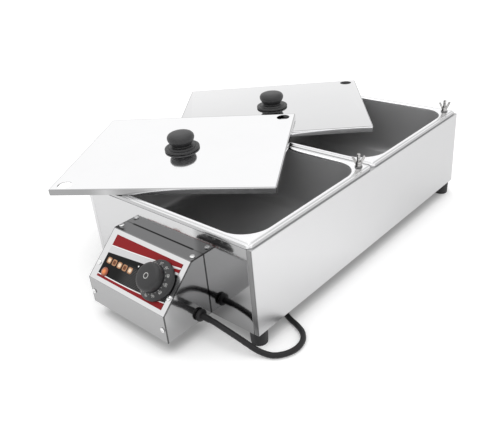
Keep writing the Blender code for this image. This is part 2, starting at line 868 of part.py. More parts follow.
def lid():
    """A shallow pressed lid, open below, with its edge turned down all round."""
    half_x = LID_LENGTH / 2
    half_y = LID_WIDTH / 2
    edge = LID_EDGE_RADIUS
    inner = LID_SHEET

    def loop(inset, height):
        return rounded_rectangle(half_x - inset, half_y - inset, LID_CORNER - inset, height)

    loops = [
        loop(inner, LID_HEIGHT - LID_SHEET),
        loop(inner, 0),
        loop(0, 0),
    ]
    for angle in arc(3):
        loops.append(loop(edge * (1 - math.cos(angle)), LID_HEIGHT - edge * (1 - math.sin(angle))))
    solid = stack(loops)
    for place in lid_hole_places():
        cut(solid, cylinder(LID_HOLE_RADIUS, 0, LID_HEIGHT + OVERRUN, ROUND_LARGE, place))
    return cut(solid, cylinder(KNOB_SCREW_RADIUS + GAP, 0, LID_HEIGHT + OVERRUN))


def knob_base():
    """A stepped disc between the lid and the knob."""
    low = LID_HEIGHT + GAP
    top = low + KNOB_BASE_THICKNESS
    soft = KNOB_STEP_HEIGHT / 2
    profile = [
        (KNOB_BASE_RADIUS - soft, low),
        (KNOB_BASE_RADIUS, low + soft),
        (KNOB_BASE_RADIUS, top - 2 * soft),
        (KNOB_BASE_RADIUS - soft, top - soft),
        (KNOB_STEP_RADIUS + soft, top),
        (KNOB_STEP_RADIUS, top - soft / 2),
        (KNOB_STEP_RADIUS - soft, top + KNOB_STEP_HEIGHT),
        (KNOB_NECK_RADIUS - soft, top + KNOB_STEP_HEIGHT),
    ]
    solid = turn(profile, ROUND_LARGE)
    return cut(solid, cylinder(KNOB_SCREW_RADIUS + GAP, 0, top + OVERRUN))


def knob():
    """A round knob that widens upward to a soft shoulder and a nearly flat top."""
    low = LID_HEIGHT + 2 * GAP + KNOB_BASE_THICKNESS + KNOB_STEP_HEIGHT
    profile = [(KNOB_NECK_RADIUS, low)]
    for height_share, radius_share in KNOB_SHARES:
        profile.append((KNOB_CAP_RADIUS * radius_share, low + KNOB_HEIGHT * height_share))
    solid = turn(profile, ROUND_LARGE)
    drill = cylinder(KNOB_SCREW_RADIUS + GAP, low - OVERRUN, low + KNOB_SCREW_BITE + GAP)
    return cut(solid, drill)


def knob_screw():
    under = LID_HEIGHT - LID_SHEET - GAP
    top = LID_HEIGHT + 2 * GAP + KNOB_BASE_THICKNESS + KNOB_STEP_HEIGHT + KNOB_SCREW_BITE
    profile = [
        (KNOB_SCREW_HEAD_RADIUS - KNOB_SCREW_HEAD / 3, under - KNOB_SCREW_HEAD),
        (KNOB_SCREW_HEAD_RADIUS, under - KNOB_SCREW_HEAD * HALF),
        (KNOB_SCREW_HEAD_RADIUS, under),
        (KNOB_SCREW_RADIUS, under),
        (KNOB_SCREW_RADIUS, top),
    ]
    return turn(profile, ROUND_SMALL)


def lids():
    for name, matrix in (("front", lid_front_matrix()), ("rear", lid_rear_matrix())):
        carrier = frame("lid_frame_" + name, matrix)
        piece(lid(), "lid_" + name, bright_steel(), carrier)
        piece(knob_base(), "knob_base_" + name, black_plastic(), carrier)
        piece(knob(), "knob_" + name, black_plastic(), carrier)
        piece(knob_screw(), "knob_screw_" + name, screw_steel(), carrier)


# Heaters


def element_route():
    """A flat serpentine of straight runs, both ends towards the front."""
    radius = ELEMENT_PITCH / 2
    half = ELEMENT_RUN / 2
    first = -ELEMENT_PITCH * (ELEMENT_RUNS - 1) / 2
    points = []
    for run in range(ELEMENT_RUNS):
        x = first + run * ELEMENT_PITCH
        away = run % 2 == 0
        start = -half if away else half
        points.append((x, start, 0))
        points.append((x, 0, 0))
        points.append((x, -start, 0))
        if run == ELEMENT_RUNS - 1:
            break
        for angle in arc(BEND_STEPS, math.pi, 0)[1:-1]:
            side = math.sin(angle) if away else -math.sin(angle)
            points.append((x + radius + radius * math.cos(angle), -start + radius * side, 0))
    return points


def element_height():
    return PAN_UNDERSIDE_Z - GAP - ELEMENT_RADIUS


def heater_tray():
    """A bridge of sheet on two feet that holds the element up against the pan."""
    top = element_height() - ELEMENT_RADIUS - GAP
    low = CASING_SHEET + GAP
    half = TRAY_WIDTH / 2
    length = TRAY_LENGTH / 2
    solid = box((-half, -length, low), (half, length, top))
    inner = half - TRAY_SHEET
    cut(solid, box((-inner, -length - OVERRUN, low - OVERRUN), (inner, length + OVERRUN, top - TRAY_SHEET)))
    for side in (1, -1):
        edges = sorted((side * inner, side * (half + TRAY_FOOT)))
        join(solid, box((edges[0], -length, low), (edges[1], length, low + TRAY_SHEET)))
    return solid


def heaters():
    for name, centre in PAN_CENTRES.items():
        coil = tube("heating_element_" + name, element_route(), ELEMENT_RADIUS, 2, element_steel())
        coil.location = (0, centre, element_height())
        piece(heater_tray(), "heater_tray_" + name, galvanised_steel(), place=(0, centre, 0))


# Control box


def box_outline(inset, back=0.0):
    """The side outline of the box, inset evenly behind its top, slope and front."""
    half_turn = math.tan(SLOPE_ANGLE / 2)
    top = BOX_HEIGHT - inset
    knee_y = BOX_BACK_Y - BOX_TOP_DEPTH + inset * half_turn
    front_y = BOX_BACK_Y - BOX_DEPTH + inset
    other = math.tan((math.pi / 2 - SLOPE_ANGLE) / 2)
    knee_z = BOX_FRONT_HEIGHT - inset * other
    return [
        (BOX_BACK_Y + back, top),
        (knee_y, top),
        (front_y, knee_z),
        (front_y, 0),
        (BOX_BACK_Y + back, 0),
    ]


def face_frame():
    """Local X runs right from the left edge, local -Y down the slope, local Z out of it."""
    turned = Matrix.Rotation(SLOPE_ANGLE, 4, "X")
    place = (BOX_LEFT_X, BOX_BACK_Y - BOX_TOP_DEPTH, BOX_HEIGHT)
    return Matrix.Translation(place) @ turned


def cover_screws():
    """Each screw's name, place and outward axis."""
    slope = face_frame()
    out = {}
    sides = {"left": COVER_SCREW_INSET, "right": BOX_WIDTH - COVER_SCREW_INSET}
    for side, across in sides.items():
        x = BOX_LEFT_X + across
        top = Vector((x, BOX_BACK_Y - COVER_SCREW_TOP, BOX_HEIGHT))
        out["top_" + side] = (top, Vector((0, 0, 1)))
        middle = slope @ Vector((across, -COVER_SCREW_SLOPE, 0))
        out["slope_" + side] = (middle, slope.to_3x3() @ Vector((0, 0, 1)))
        low = Vector((x, BOX_BACK_Y - BOX_DEPTH, COVER_SCREW_FRONT))
        out["front_" + side] = (low, Vector((0, -1, 0)))
    return out


def drill_screws(solid):
    for place, axis in cover_screws().values():
        drill = cylinder(COVER_SCREW_RADIUS + GAP, -COVER_SCREW_LENGTH, OVERRUN)
        cut(solid, lying(drill, place, axis))
    return solid


def control_body():
    """Bottom and sides in one bent sheet, with flanges that the cover is screwed to."""
    half = BOX_WIDTH / 2
    solid = prism(box_outline(COVER_SEAT), -half, half)
    inner = box_outline(COVER_SEAT + BOX_SHEET, OVERRUN)
    floor = [(y, max(z, BOX_SHEET)) for y, z in inner]
    cut(solid, prism(floor, -half + BOX_SHEET, half - BOX_SHEET))
    window = half - BOX_FLANGE
    outer = box_outline(-OVERRUN, OVERRUN)
    opening = [(y, max(z, BOX_SHEET)) for y, z in outer]
    cut(solid, prism(opening, -window, window))
    place = (half, BOX_BACK_Y + GAP + GLAND_FROM_FRONT, GLAND_HEIGHT)
    drill = cylinder(GLAND_THREAD_RADIUS + GAP, -OVERRUN, OVERRUN)
    cut(solid, lying(drill, place, (1, 0, 0)))
    return drill_screws(solid)


def control_cover():
    """The bent front sheet: top strip, sloping face and lower front."""
    half = BOX_WIDTH / 2
    outer = box_outline(0)
    inner = box_outline(BOX_SHEET)
    outline = outer[:4] + list(reversed(inner[:4]))
    solid = drill_screws(prism(outline, -half, half))
    slope = face_frame()
    axis = slope.to_3x3() @ Vector((0, 0, 1))
    holes = (
        (DIAL_ACROSS, DIAL_DOWN, SHAFT_RADIUS + 2 * GAP),
        (LAMP_ACROSS, LAMP_DOWN, LAMP_BODY_RADIUS + GAP),
    )
    for across, down, radius in holes:
        drill = cylinder(radius, -OVERRUN, OVERRUN)
        cut(solid, lying(drill, slope @ Vector((across, -down, 0)), axis))
    return solid


def cover_screw():
    """A pan head screw with a slot, its seat at the origin."""
    head = COVER_SCREW_HEAD
    radius = COVER_SCREW_HEAD_RADIUS
    profile = [(COVER_SCREW_RADIUS, -COVER_SCREW_LENGTH + OVERRUN / 4), (COVER_SCREW_RADIUS, GAP), (radius, GAP)]
    for angle in arc(4)[:-1]:
        profile.append((radius * math.cos(angle) ** HALF, GAP + head * HALF + head * HALF * math.sin(angle)))
    profile.append((radius / 4, GAP + head))
    solid = turn(profile, ROUND_SMALL)
    half = COVER_SCREW_SLOT_WIDTH / 2
    low = GAP + head - COVER_SCREW_SLOT_DEPTH
    return cut(solid, box((-radius - OVERRUN, -half, low), (radius + OVERRUN, half, low + OVERRUN)))


def control_box():
    piece(control_body(), "control_body", bright_steel())
    piece(control_cover(), "control_cover", satin_steel())
    for name, (place, axis) in cover_screws().items():
        solid = piece(cover_screw(), "cover_screw_" + name, screw_steel(), place=place)
        solid.rotation_euler = Vector((0, 0, 1)).rotation_difference(axis).to_euler()


# Face of the control box


def label_plate():
    low = GAP
    high = GAP + LABEL_THICKNESS
    left = LABEL_LEFT
    right = LABEL_LEFT + LABEL_WIDTH
    solid = box((left, -LABEL_TOP - LABEL_HEIGHT, low), (right, -LABEL_TOP, high))
    dial = (DIAL_ACROSS, -DIAL_DOWN)
    lamp = (LAMP_ACROSS, -LAMP_DOWN)
    cut(solid, cylinder(SHAFT_RADIUS + 2 * GAP, -OVERRUN, OVERRUN, centre=dial))
    return cut(solid, cylinder(LAMP_BODY_RADIUS + GAP, -OVERRUN, OVERRUN, centre=lamp))


def dial_skirt():
    low = GAP + LABEL_THICKNESS + DIAL_STANDOFF
    top = low + DIAL_SKIRT_THICKNESS
    profile = [
        (DIAL_SKIRT_RADIUS, low),
        (DIAL_SKIRT_RADIUS, top - DIAL_SKIRT_EDGE),
        (DIAL_CONE_RADIUS, top),
    ]
    solid = turn(profile, ROUND_LARGE)
    return cut(solid, cylinder(SHAFT_RADIUS + GAP, -OVERRUN, top + OVERRUN))


def dial_knob_seat():
    return 2 * GAP + LABEL_THICKNESS + DIAL_STANDOFF + DIAL_SKIRT_THICKNESS


def dial_knob():
    low = dial_knob_seat()
    rim = low + DIAL_CONE_HEIGHT
    top = rim + DIAL_GRIP_HEIGHT
    edge = DIAL_GRIP_EDGE
    profile = [
        (DIAL_CONE_RADIUS, low),
        (DIAL_CONE_TOP_RADIUS, rim),
        (DIAL_GRIP_BASE_RADIUS, rim),
        (DIAL_GRIP_RADIUS, top - edge),
    ]
    for angle in arc(4)[1:]:
        radius = DIAL_GRIP_RADIUS - edge * (1 - math.cos(angle))
        profile.append((radius, top - edge * (1 - math.sin(angle))))
    solid = turn(profile, ROUND_LARGE)
    return cut(solid, cylinder(SHAFT_RADIUS + GAP, -OVERRUN, low + SHAFT_BITE + GAP))


def thermostat_top():
    return -BOX_SHEET - GAP


def dial_shaft():
    low = thermostat_top() - THERMOSTAT_NECK - THERMOSTAT_BORE_DEPTH + GAP
    return cylinder(SHAFT_RADIUS, low, dial_knob_seat() + SHAFT_BITE)


def thermostat():
    half = THERMOSTAT_SIZE / 2
    top = thermostat_top()
    case_top = top - THERMOSTAT_NECK
    solid = box((-half, -half, case_top - THERMOSTAT_DEPTH), (half, half, case_top))
    join(solid, cylinder(THERMOSTAT_NECK_RADIUS, case_top - OVERRUN, top))
    drill = cylinder(SHAFT_RADIUS + GAP, case_top - THERMOSTAT_BORE_DEPTH, OVERRUN)
    return cut(solid, drill)


def lamp_lens():
    low = 2 * GAP + LABEL_THICKNESS
    profile = [(LAMP_RADIUS, low)]
    for angle in arc(5)[:-1]:
        profile.append((LAMP_RADIUS * math.cos(angle), low + LAMP_RISE * (1 + 2 * math.sin(angle)) / 3))
    profile.append((LAMP_RADIUS / 8, low + LAMP_RISE))
    return turn(profile, ROUND_LARGE)


def lamp_body():
    return cylinder(LAMP_BODY_RADIUS, -LAMP_BODY_DEPTH, GAP + LABEL_THICKNESS)


def control_face():
    carrier = frame("face_frame", face_frame())
    piece(label_plate(), "label_plate", printed_label(), carrier)
    dial = (DIAL_ACROSS, -DIAL_DOWN, 0)
    piece(dial_skirt(), "dial_skirt", black_plastic(), carrier, dial)
    piece(dial_knob(), "dial_knob", black_plastic(), carrier, dial)
    piece(dial_shaft(), "dial_shaft", screw_steel(), carrier, dial)
    piece(thermostat(), "thermostat", white_plastic(), carrier, dial)
    lamp = (LAMP_ACROSS, -LAMP_DOWN, 0)
    piece(lamp_lens(), "lamp_lens", amber_lens(), carrier, lamp)
    piece(lamp_body(), "lamp_body", white_plastic(), carrier, lamp)


# Wiring


def terminal_block():
    low = BOX_SHEET + GAP
    y = FRONT_Y + TERMINAL_FROM_FRONT
    half_x = TERMINAL_LENGTH / 2
    half_y = TERMINAL_WIDTH / 2
    solid = box(
        (TERMINAL_X - half_x, y - half_y, low),
        (TERMINAL_X + half_x, y + half_y, low + TERMINAL_HEIGHT),
    )
    piece(solid, "terminal_block", white_plastic())


def element_end(name):
    """The front face of an element's left end."""
    x = -ELEMENT_PITCH * (ELEMENT_RUNS - 1) / 2
    return Vector((x, PAN_CENTRES[name] - ELEMENT_RUN / 2, element_height()))


def heater_lead(name, route):
    points = [route[0]] + smooth_through(route[1:-1], 5 * LEAD_RADIUS) + [route[-1]]
    tube("heater_lead_" + name, points, LEAD_RADIUS, 1, red_sleeve())


def heater_leads():
    top = BOX_SHEET + GAP + TERMINAL_HEIGHT + GAP
    y = FRONT_Y + TERMINAL_FROM_FRONT
    step = 4 * LEAD_RADIUS
    holes = lead_holes()
    x, z = holes["front"]
    end = element_end("front")
    start = Vector((TERMINAL_X + TERMINAL_LENGTH / 4, y, top))
    route = [
        start,
        start + Vector((0, 0, step)),
        (x, FRONT_Y - step, z),
        (x, FRONT_Y + step, z),
        end + Vector((0, -GAP - step, 0)),
        end + Vector((0, -GAP, 0)),
    ]
    heater_lead("front", route)
    x, z = holes["rear"]
    end = element_end("rear")
    start = Vector((TERMINAL_X - TERMINAL_LENGTH / 4, y, top))
    wall_x = LEAD_SIDE_MARGIN - SIDE_X
    low = CASING_SHEET + GAP + LEAD_RADIUS
    across = (low + end.z) / 2
    route = [
        start,
        start + Vector((0, 0, step)),
        (x, FRONT_Y - step, z),
        (x, FRONT_Y + step, z),
        (wall_x, FRONT_Y + 5 * step, low + step / 4),
        (wall_x, FRONT_Y + 8 * step, low),
        (wall_x, PAN_CENTRES["front"], low),
        (wall_x, -TRAY_LENGTH / 2, low),
        ((wall_x + end.x) / 2, (end.y - TRAY_LENGTH / 2) / 2, across),
        end + Vector((0, -GAP - step, 0)),
        end + Vector((0, -GAP, 0)),
    ]
    heater_lead("rear", route)


def bulb_height():
    return PAN_UNDERSIDE_Z - GAP - BULB_RADIUS


def capillary():
    """A thin copper tube from the thermostat to the sensing bulb under the front pan."""
    face = face_frame()
    depth = thermostat_top() - THERMOSTAT_NECK - THERMOSTAT_DEPTH - GAP
    step = BULB_RADIUS * 3
    centre = Vector((DIAL_ACROSS, -DIAL_DOWN, depth))
    start = face @ centre
    after = face @ (centre + Vector((0, 0, -step / 2)))
    x, z = lead_holes()["capillary"]
    bulb_z = bulb_height()
    bulb_y = PAN_CENTRES["front"] - ELEMENT_RUN / 2 + BULB_RADIUS
    route = [
        start,
        after,
        ((after.x + x) / 2, FRONT_Y - 2 * step, (after.z + z) / 2),
        (x, FRONT_Y - step, z),
        (x, FRONT_Y + step, z),
        (x, bulb_y - step, bulb_z),
    ]
    points = [start] + smooth_through(route[1:], step)
    radii = [1.0] * len(points)
    thick = BULB_RADIUS / CAPILLARY_RADIUS
    for along in (0, BULB_LENGTH / 2, BULB_LENGTH):
        points.append(Vector((x, bulb_y + along, bulb_z)))
        radii.append(thick)
    tube("capillary", points, CAPILLARY_RADIUS, 1, copper(), radii)


def wiring():
    terminal_block()
    heater_leads()
    capillary()


# Mains lead


def cable_gland():
    """A flanged rubber gland with a tapering sleeve, threaded into the side of the box."""
    sleeve = GLAND_MOUTH_RADIUS
    profile = [
        (GLAND_THREAD_RADIUS, -GLAND_THREAD),
        (GLAND_THREAD_RADIUS, GAP),
        (GLAND_RADIUS - GLAND_BEAD, GAP),
        (GLAND_RADIUS - GLAND_BEAD / 4, GLAND_BEAD),
        (GLAND_RADIUS, GLAND_FLANGE / 2),
        (GLAND_RADIUS - GLAND_BEAD / 4, GLAND_FLANGE - GLAND_BEAD),
        (GLAND_RADIUS - GLAND_BEAD, GLAND_FLANGE),
        (sleeve + GAP * 4, GLAND_FLANGE + GAP * 3),
        (sleeve, GLAND_LENGTH - GAP * 2),
        (sleeve - GAP * 2, GLAND_LENGTH),
    ]
    solid = turn(profile, ROUND_LARGE)
    place = (BOX_WIDTH / 2, FRONT_Y + GLAND_FROM_FRONT, GLAND_HEIGHT)
    piece(lying(solid, (0, 0, 0), (1, 0, 0)), "cable_gland", black_rubber(), place=place)


def gland_exit():
    x = BOX_WIDTH / 2 + GLAND_LENGTH + GAP
    return Vector((x, FRONT_Y + GLAND_FROM_FRONT, GLAND_HEIGHT))


def cord_line():
    """From the gland down to the floor, round the front foot and under the casing."""
    floor = FLOOR_Z + CORD_RADIUS
    first = gland_exit()
    drop = floor - first.z
    straight = first + Vector((2 * CORD_RADIUS, 0, 0))
    route = [straight]
    for along, back, share in CORD_FROM_GLAND:
        route.append(straight + Vector((along, back, drop * share)))
    foot_x, foot_y = foot_places()["front_right"]
    for right, back in CORD_ROUND_FOOT:
        route.append(Vector((foot_x + right, foot_y + back, floor)))
    last = coil_line()[0] - Vector((0, GAP, 0))
    before = last - Vector((0, 2 * CORD_RADIUS, 0))
    turned = route[-1]
    for across, back in CORD_UNDER_SHARES:
        x = turned.x + (before.x - turned.x) * across
        y = turned.y + (before.y - turned.y) * back
        route.append(Vector((x, y, floor + (before.z - floor) * back)))
    route.append(before)
    return [first] + smooth_through(route, 4.4 * CORD_RADIUS) + [last]


def coil_points():
    """One unbroken line: in along the lower layer, up, and out along the upper one."""
    centre = Vector((COIL_X, REAR_Y + COIL_BEHIND))
    low = FLOOR_Z + COIL_TIE_THICKNESS + 2 * GAP + CORD_RADIUS
    inward = COIL_TURNS_IN + COIL_TURNS_CLIMB / 2
    total = COIL_TURNS_IN + COIL_TURNS_CLIMB + COIL_TURNS_OUT
    steps = round(total * COIL_POINTS)
    points = []
    for i in range(steps + 1):
        turns = total * i / steps
        radius = COIL_OUTER - COIL_PITCH * min(turns, inward)
        radius += COIL_PITCH * max(0.0, turns - inward)
        climbed = min(max((turns - COIL_TURNS_IN) / COIL_TURNS_CLIMB, 0.0), 1.0)
        z = low + COIL_LAYER * (1 - math.cos(math.pi * climbed)) / 2
        angle = 2 * math.pi * turns
        x = centre.x + radius * math.cos(angle)
        y = centre.y + radius * math.sin(angle)
        points.append(Vector((x, y, z)))
    return points


def coil_line():
    """The coil with its straight ends, the lead's first and the plug's last."""
    turns = coil_points()
    first = turns[0]
    last = turns[-1]
    lead_in = Vector((first.x, first.y - 2 * CORD_RADIUS, first.z))
    before = [lead_in - Vector((0, 2 * CORD_RADIUS, 0)), lead_in]
    after = []
    for share in (1 / 3, 2 / 3, 1):
        after.append(last + Vector((0, COIL_TAIL * share, 0)))
    return before + turns + after


def tightest(points):
    """The least radius of the circles through three neighbouring points."""
    least = None
    for a, b, c in zip(points, points[1:], points[2:]):
        area = (b - a).cross(c - a).length
        if area > GAP * GAP:
            radius = (b - a).length * (c - b).length * (c - a).length / (2 * area)
            least = radius if least is None else min(least, radius)
    return least


def least_gap(points, radius):
    """The least distance between the tube's own turns, measured on its points."""
    least = None
    skip = COIL_POINTS // 2
    for i, a in enumerate(points):
        for b in points[i + skip :]:
            gap = (a - b).length - 2 * radius
            least = gap if least is None else min(least, gap)
    return least


def coil_tie():
    """A flat band round the coil's turns on the side away from the lead."""
    points = coil_points()
    half_turn = COIL_POINTS // 2
    strands = points[half_turn::COIL_POINTS]
    reach = CORD_RADIUS + 2 * GAP
    left = min(p.x for p in strands) - reach
    right = max(p.x for p in strands) + reach
    low = min(p.z for p in strands) - reach
    high = max(p.z for p in strands) + reach
    centre = Vector(((left + right) / 2, strands[0].y, (low + high) / 2))
    half_x = (right - left) / 2
    half_z = (high - low) / 2
    edge = COIL_TIE_THICKNESS

    def band(grown, y):
        loop = rounded_rectangle(half_x + grown, half_z + grown, CORD_RADIUS + grown, 0)
        return [(p[0], y, p[1]) for p in loop]

    half = COIL_TIE_WIDTH / 2
    solid = stack([band(edge, -half), band(edge, half)])
    cut(solid, stack([band(0, -half - OVERRUN), band(0, half + OVERRUN)]))
    piece(solid, "coil_tie", black_plastic(), place=centre)


def plug_loop(half_width, half_height, along):
    """An oval across the plug's length."""
    loop = []
    for i in range(ROUND_LARGE):
        angle = 2 * math.pi * i / ROUND_LARGE
        x = half_width * math.copysign(abs(math.cos(angle)) ** 0.7, math.cos(angle))
        z = half_height * math.copysign(abs(math.sin(angle)) ** 0.7, math.sin(angle))
        loop.append((x, along, z))
    return loop


def plug_body(half_height):
    boot = PLUG_BOOT_RADIUS
    mid = (PLUG_HALF_WIDTH + boot) / 2
    loops = [
        plug_loop(boot, boot, 0),
        plug_loop(boot + GAP * 3, boot + GAP * 3, PLUG_BOOT),
        plug_loop(mid, half_height * 0.75, PLUG_BOOT + PLUG_LENGTH / 5),
        plug_loop(PLUG_HALF_WIDTH, half_height, PLUG_BOOT + PLUG_LENGTH * HALF),
        plug_loop(PLUG_HALF_WIDTH, half_height, PLUG_BOOT + PLUG_LENGTH),
    ]
    solid = stack(loops)
    end = PLUG_BOOT + PLUG_LENGTH
    for side in (1, -1):
        drill = cylinder(PLUG_PIN_RADIUS + GAP, -PLUG_PIN_BITE - GAP, OVERRUN)
        place = (side * PLUG_PIN_SPACING / 2, end, 0)
        cut(solid, lying(drill, place, (0, 1, 0)))
    return solid


def plug_pin():
    tip = PLUG_PIN_RADIUS / 2
    profile = [
        (PLUG_PIN_RADIUS, -PLUG_PIN_BITE),
        (PLUG_PIN_RADIUS, PLUG_PIN_LENGTH - tip),
        (PLUG_PIN_RADIUS - tip, PLUG_PIN_LENGTH),
    ]
    return lying(turn(profile, ROUND_SMALL), (0, 0, 0), (0, 1, 0))


def mains_lead():
    cable_gland()
    route = cord_line()
    tube("mains_cord", route, CORD_RADIUS, 2, black_rubber())
    line = coil_line()
    tube("cord_coil", line, CORD_RADIUS, 1, black_rubber())
    coil_tie()
    end = line[-1] + Vector((0, GAP, 0))
    half_height = end.z - FLOOR_Z - GAP
    piece(plug_body(half_height), "plug_body", black_rubber(), place=end)
    face = end + Vector((0, PLUG_BOOT + PLUG_LENGTH, 0))
    for side, name in ((1, "right"), (-1, "left")):
        place = face + Vector((side * PLUG_PIN_SPACING / 2, 0, 0))
        piece(plug_pin(), "plug_pin_" + name, brass(), place=place)
    print("lead from gland to coil", round(length_of(route), 4), "coil", round(length_of(line), 4))
    print("tightest bend of the lead in mm", round(1000 * tightest(route), 1))
    print("coil least gap to itself in mm", round(1000 * least_gap(coil_points(), CORD_RADIUS), 2))


def main():
    clear_scene()
    casing()
    feet()
    pans_and_clamps()
    lids()
    heaters()
    control_box()
    control_face()
    wiring()
    mains_lead()
    bpy.context.view_layer.update()


main()
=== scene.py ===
"""Finishes, printed face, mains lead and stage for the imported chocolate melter."""

import json
import math

import bmesh
import bpy
from bpy.props import FloatProperty, FloatVectorProperty, IntProperty, PointerProperty
from mathutils import Matrix, Vector

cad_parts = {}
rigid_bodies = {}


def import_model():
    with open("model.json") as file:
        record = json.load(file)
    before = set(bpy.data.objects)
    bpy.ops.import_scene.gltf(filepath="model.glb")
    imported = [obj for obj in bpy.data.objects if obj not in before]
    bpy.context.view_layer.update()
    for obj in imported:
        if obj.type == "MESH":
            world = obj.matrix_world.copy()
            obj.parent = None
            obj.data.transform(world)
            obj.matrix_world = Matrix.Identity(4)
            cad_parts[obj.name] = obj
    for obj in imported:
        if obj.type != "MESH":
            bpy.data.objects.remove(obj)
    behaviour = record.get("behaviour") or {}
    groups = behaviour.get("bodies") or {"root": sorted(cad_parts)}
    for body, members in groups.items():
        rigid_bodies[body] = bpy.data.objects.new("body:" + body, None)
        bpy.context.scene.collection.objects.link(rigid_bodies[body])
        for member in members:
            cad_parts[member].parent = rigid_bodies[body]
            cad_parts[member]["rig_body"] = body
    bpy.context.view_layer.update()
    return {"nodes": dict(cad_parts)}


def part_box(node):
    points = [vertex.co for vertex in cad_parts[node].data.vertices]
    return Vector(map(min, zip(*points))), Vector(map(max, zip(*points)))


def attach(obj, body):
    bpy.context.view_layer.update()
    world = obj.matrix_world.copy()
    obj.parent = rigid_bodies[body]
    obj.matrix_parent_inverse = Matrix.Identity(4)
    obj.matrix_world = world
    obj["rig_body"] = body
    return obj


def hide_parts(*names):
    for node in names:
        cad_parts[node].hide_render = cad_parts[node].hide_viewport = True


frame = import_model()

bl_info = {
    "name": "Chocolate melter looks",
    "version": (1, 0, 0),
    "blender": (4, 5, 0),
    "location": "View3D > Sidebar > Melter",
    "description": "Dresses the packed chocolate melter and sets its stage",
    "category": "Object",
}

MM = 0.001
DEGREE = math.pi / 180
GAP = 0.3 * MM
WELD = 0.002 * MM

# Photograph

IMAGE_WIDTH = 500
FOCAL_PIXELS = 594.37
SENSOR_WIDTH = 36.0
CAMERA_PLACE = (0.5842, -0.7015, 0.4997)
CAMERA_RIGHT = (0.7457, 0.6612, -0.0829)
CAMERA_DOWN = (0.2638, -0.4071, -0.8745)

# Pieces that carry the pieces made here

CASE_LOW, CASE_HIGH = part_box("side_panel_right")
FLOOR_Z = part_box("foot_front_right")[0].z
COVER_LOW, COVER_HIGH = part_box("control_cover")
PAN_RIM = 0.0113
PAN_DEPTH = 0.095

# Places on the sloping face, across and up from its top left corner

DIAL_PLACE = (0.1252, -0.04097)
LAMP_PLACE = (0.0262, -0.0624)


# Settings


class MelterSteel(bpy.types.PropertyGroup):
    """Greys of the sheet metal, with the painted reflection and shade greys of the box cover, lids and pan
    wells.
    """

    case_grey: FloatProperty(name="Case grey", description="Grey of the case sides", default=0.68)
    panel_grey: FloatProperty(name="Panel grey", description="Grey of the polished front", default=0.66)
    box_side_grey: FloatProperty(name="Box side grey", description="Grey of the box's sides", default=0.60)
    # Painted reflection greys: the cover's one sheet is set to a different grey on each of its three flats
    box_top_reflection_grey: FloatProperty(name="Box top grey", description="Grey of its top strip", default=0.27)
    box_slope_reflection_grey: FloatProperty(name="Box slope grey", description="Grey round the label", default=0.76)
    box_front_reflection_grey: FloatProperty(name="Box front grey", description="Grey of its front", default=0.43)
    # Painted reflection greys of the lids: the same steel set lighter or darker lid by lid and on the turned
    # edges
    lid_front_reflection_grey: FloatProperty(name="Front lid grey", description="Grey of the front lid", default=0.96)
    lid_rear_reflection_grey: FloatProperty(name="Rear lid grey", description="Grey of the rear lid", default=0.78)
    lid_edge_reflection_grey: FloatProperty(name="Lid edge grey", description="Grey of turned edges", default=0.36)
    # Painted shade: the lids' undersides and hole walls
    lid_under_shade_grey: FloatProperty(name="Lid under grey", description="Grey below the lids", default=0.09)
    rim_grey: FloatProperty(name="Rim grey", description="Grey of the pan rims", default=0.98)
    # Painted shade: the inside of the pans, set darker than the rim of the same steel
    well_shade_grey: FloatProperty(name="Well grey", description="Grey inside the pans", default=0.38)
    edge_radius: FloatProperty(
        name="Edge radius", description="Rounding of folded sheet edges", default=0.0005, unit="LENGTH"
    )


class MelterPrint(bpy.types.PropertyGroup):
    """Colours of the printed face."""

    red: FloatVectorProperty(
        name="Red", description="Red bands", default=(0.245, 0.012, 0.015), size=3, subtype="COLOR"
    )
    pale: FloatVectorProperty(
        name="Pale", description="Light grey sweep", default=(0.60, 0.60, 0.61), size=3, subtype="COLOR"
    )
    dark: FloatVectorProperty(
        name="Dark", description="Dark field", default=(0.006, 0.006, 0.006), size=3, subtype="COLOR"
    )
    number_size: FloatProperty(
        name="Number size", description="Size of the dial's numbers", default=0.0050, unit="LENGTH"
    )
    numbers: IntProperty(name="Numbers", description="How many numbers the dial has", default=10)


class MelterLead(bpy.types.PropertyGroup):
    """The mains lead and its coil."""

    radius: FloatProperty(name="Radius", description="Half of its diameter", default=0.004, unit="LENGTH")
    outer: FloatProperty(name="Coil radius", description="First turn", default=0.048, unit="LENGTH")
    pitch: FloatProperty(name="Pitch", description="From turn to turn", default=0.0086, unit="LENGTH")
    layer: FloatProperty(name="Layer", description="From layer to layer", default=0.0086, unit="LENGTH")
    tail: FloatProperty(name="Tail", description="From the coil to the plug", default=0.040, unit="LENGTH")


class MelterStage(bpy.types.PropertyGroup):
    """Floor, light and background."""

    floor_size: FloatProperty(name="Floor size", description="Its side", default=14.0, unit="LENGTH")
    floor_white: FloatProperty(name="Floor white", description="Plain white in reflections", default=0.25)
    floor_lift: FloatProperty(name="Floor lift", description="White added for the camera", default=0.16)
    floor_contact: FloatProperty(name="Contact shade", description="Darkening near the case", default=0.6)
    contact_width: FloatProperty(
        name="Contact width", description="How far the shade reaches", default=0.018, unit="LENGTH"
    )
    key_power: FloatProperty(name="Key power", description="Large lamp overhead", default=17.0, unit="POWER")
    world_strength: FloatProperty(name="World strength", description="Light from all round", default=1.0)


# Shader writing


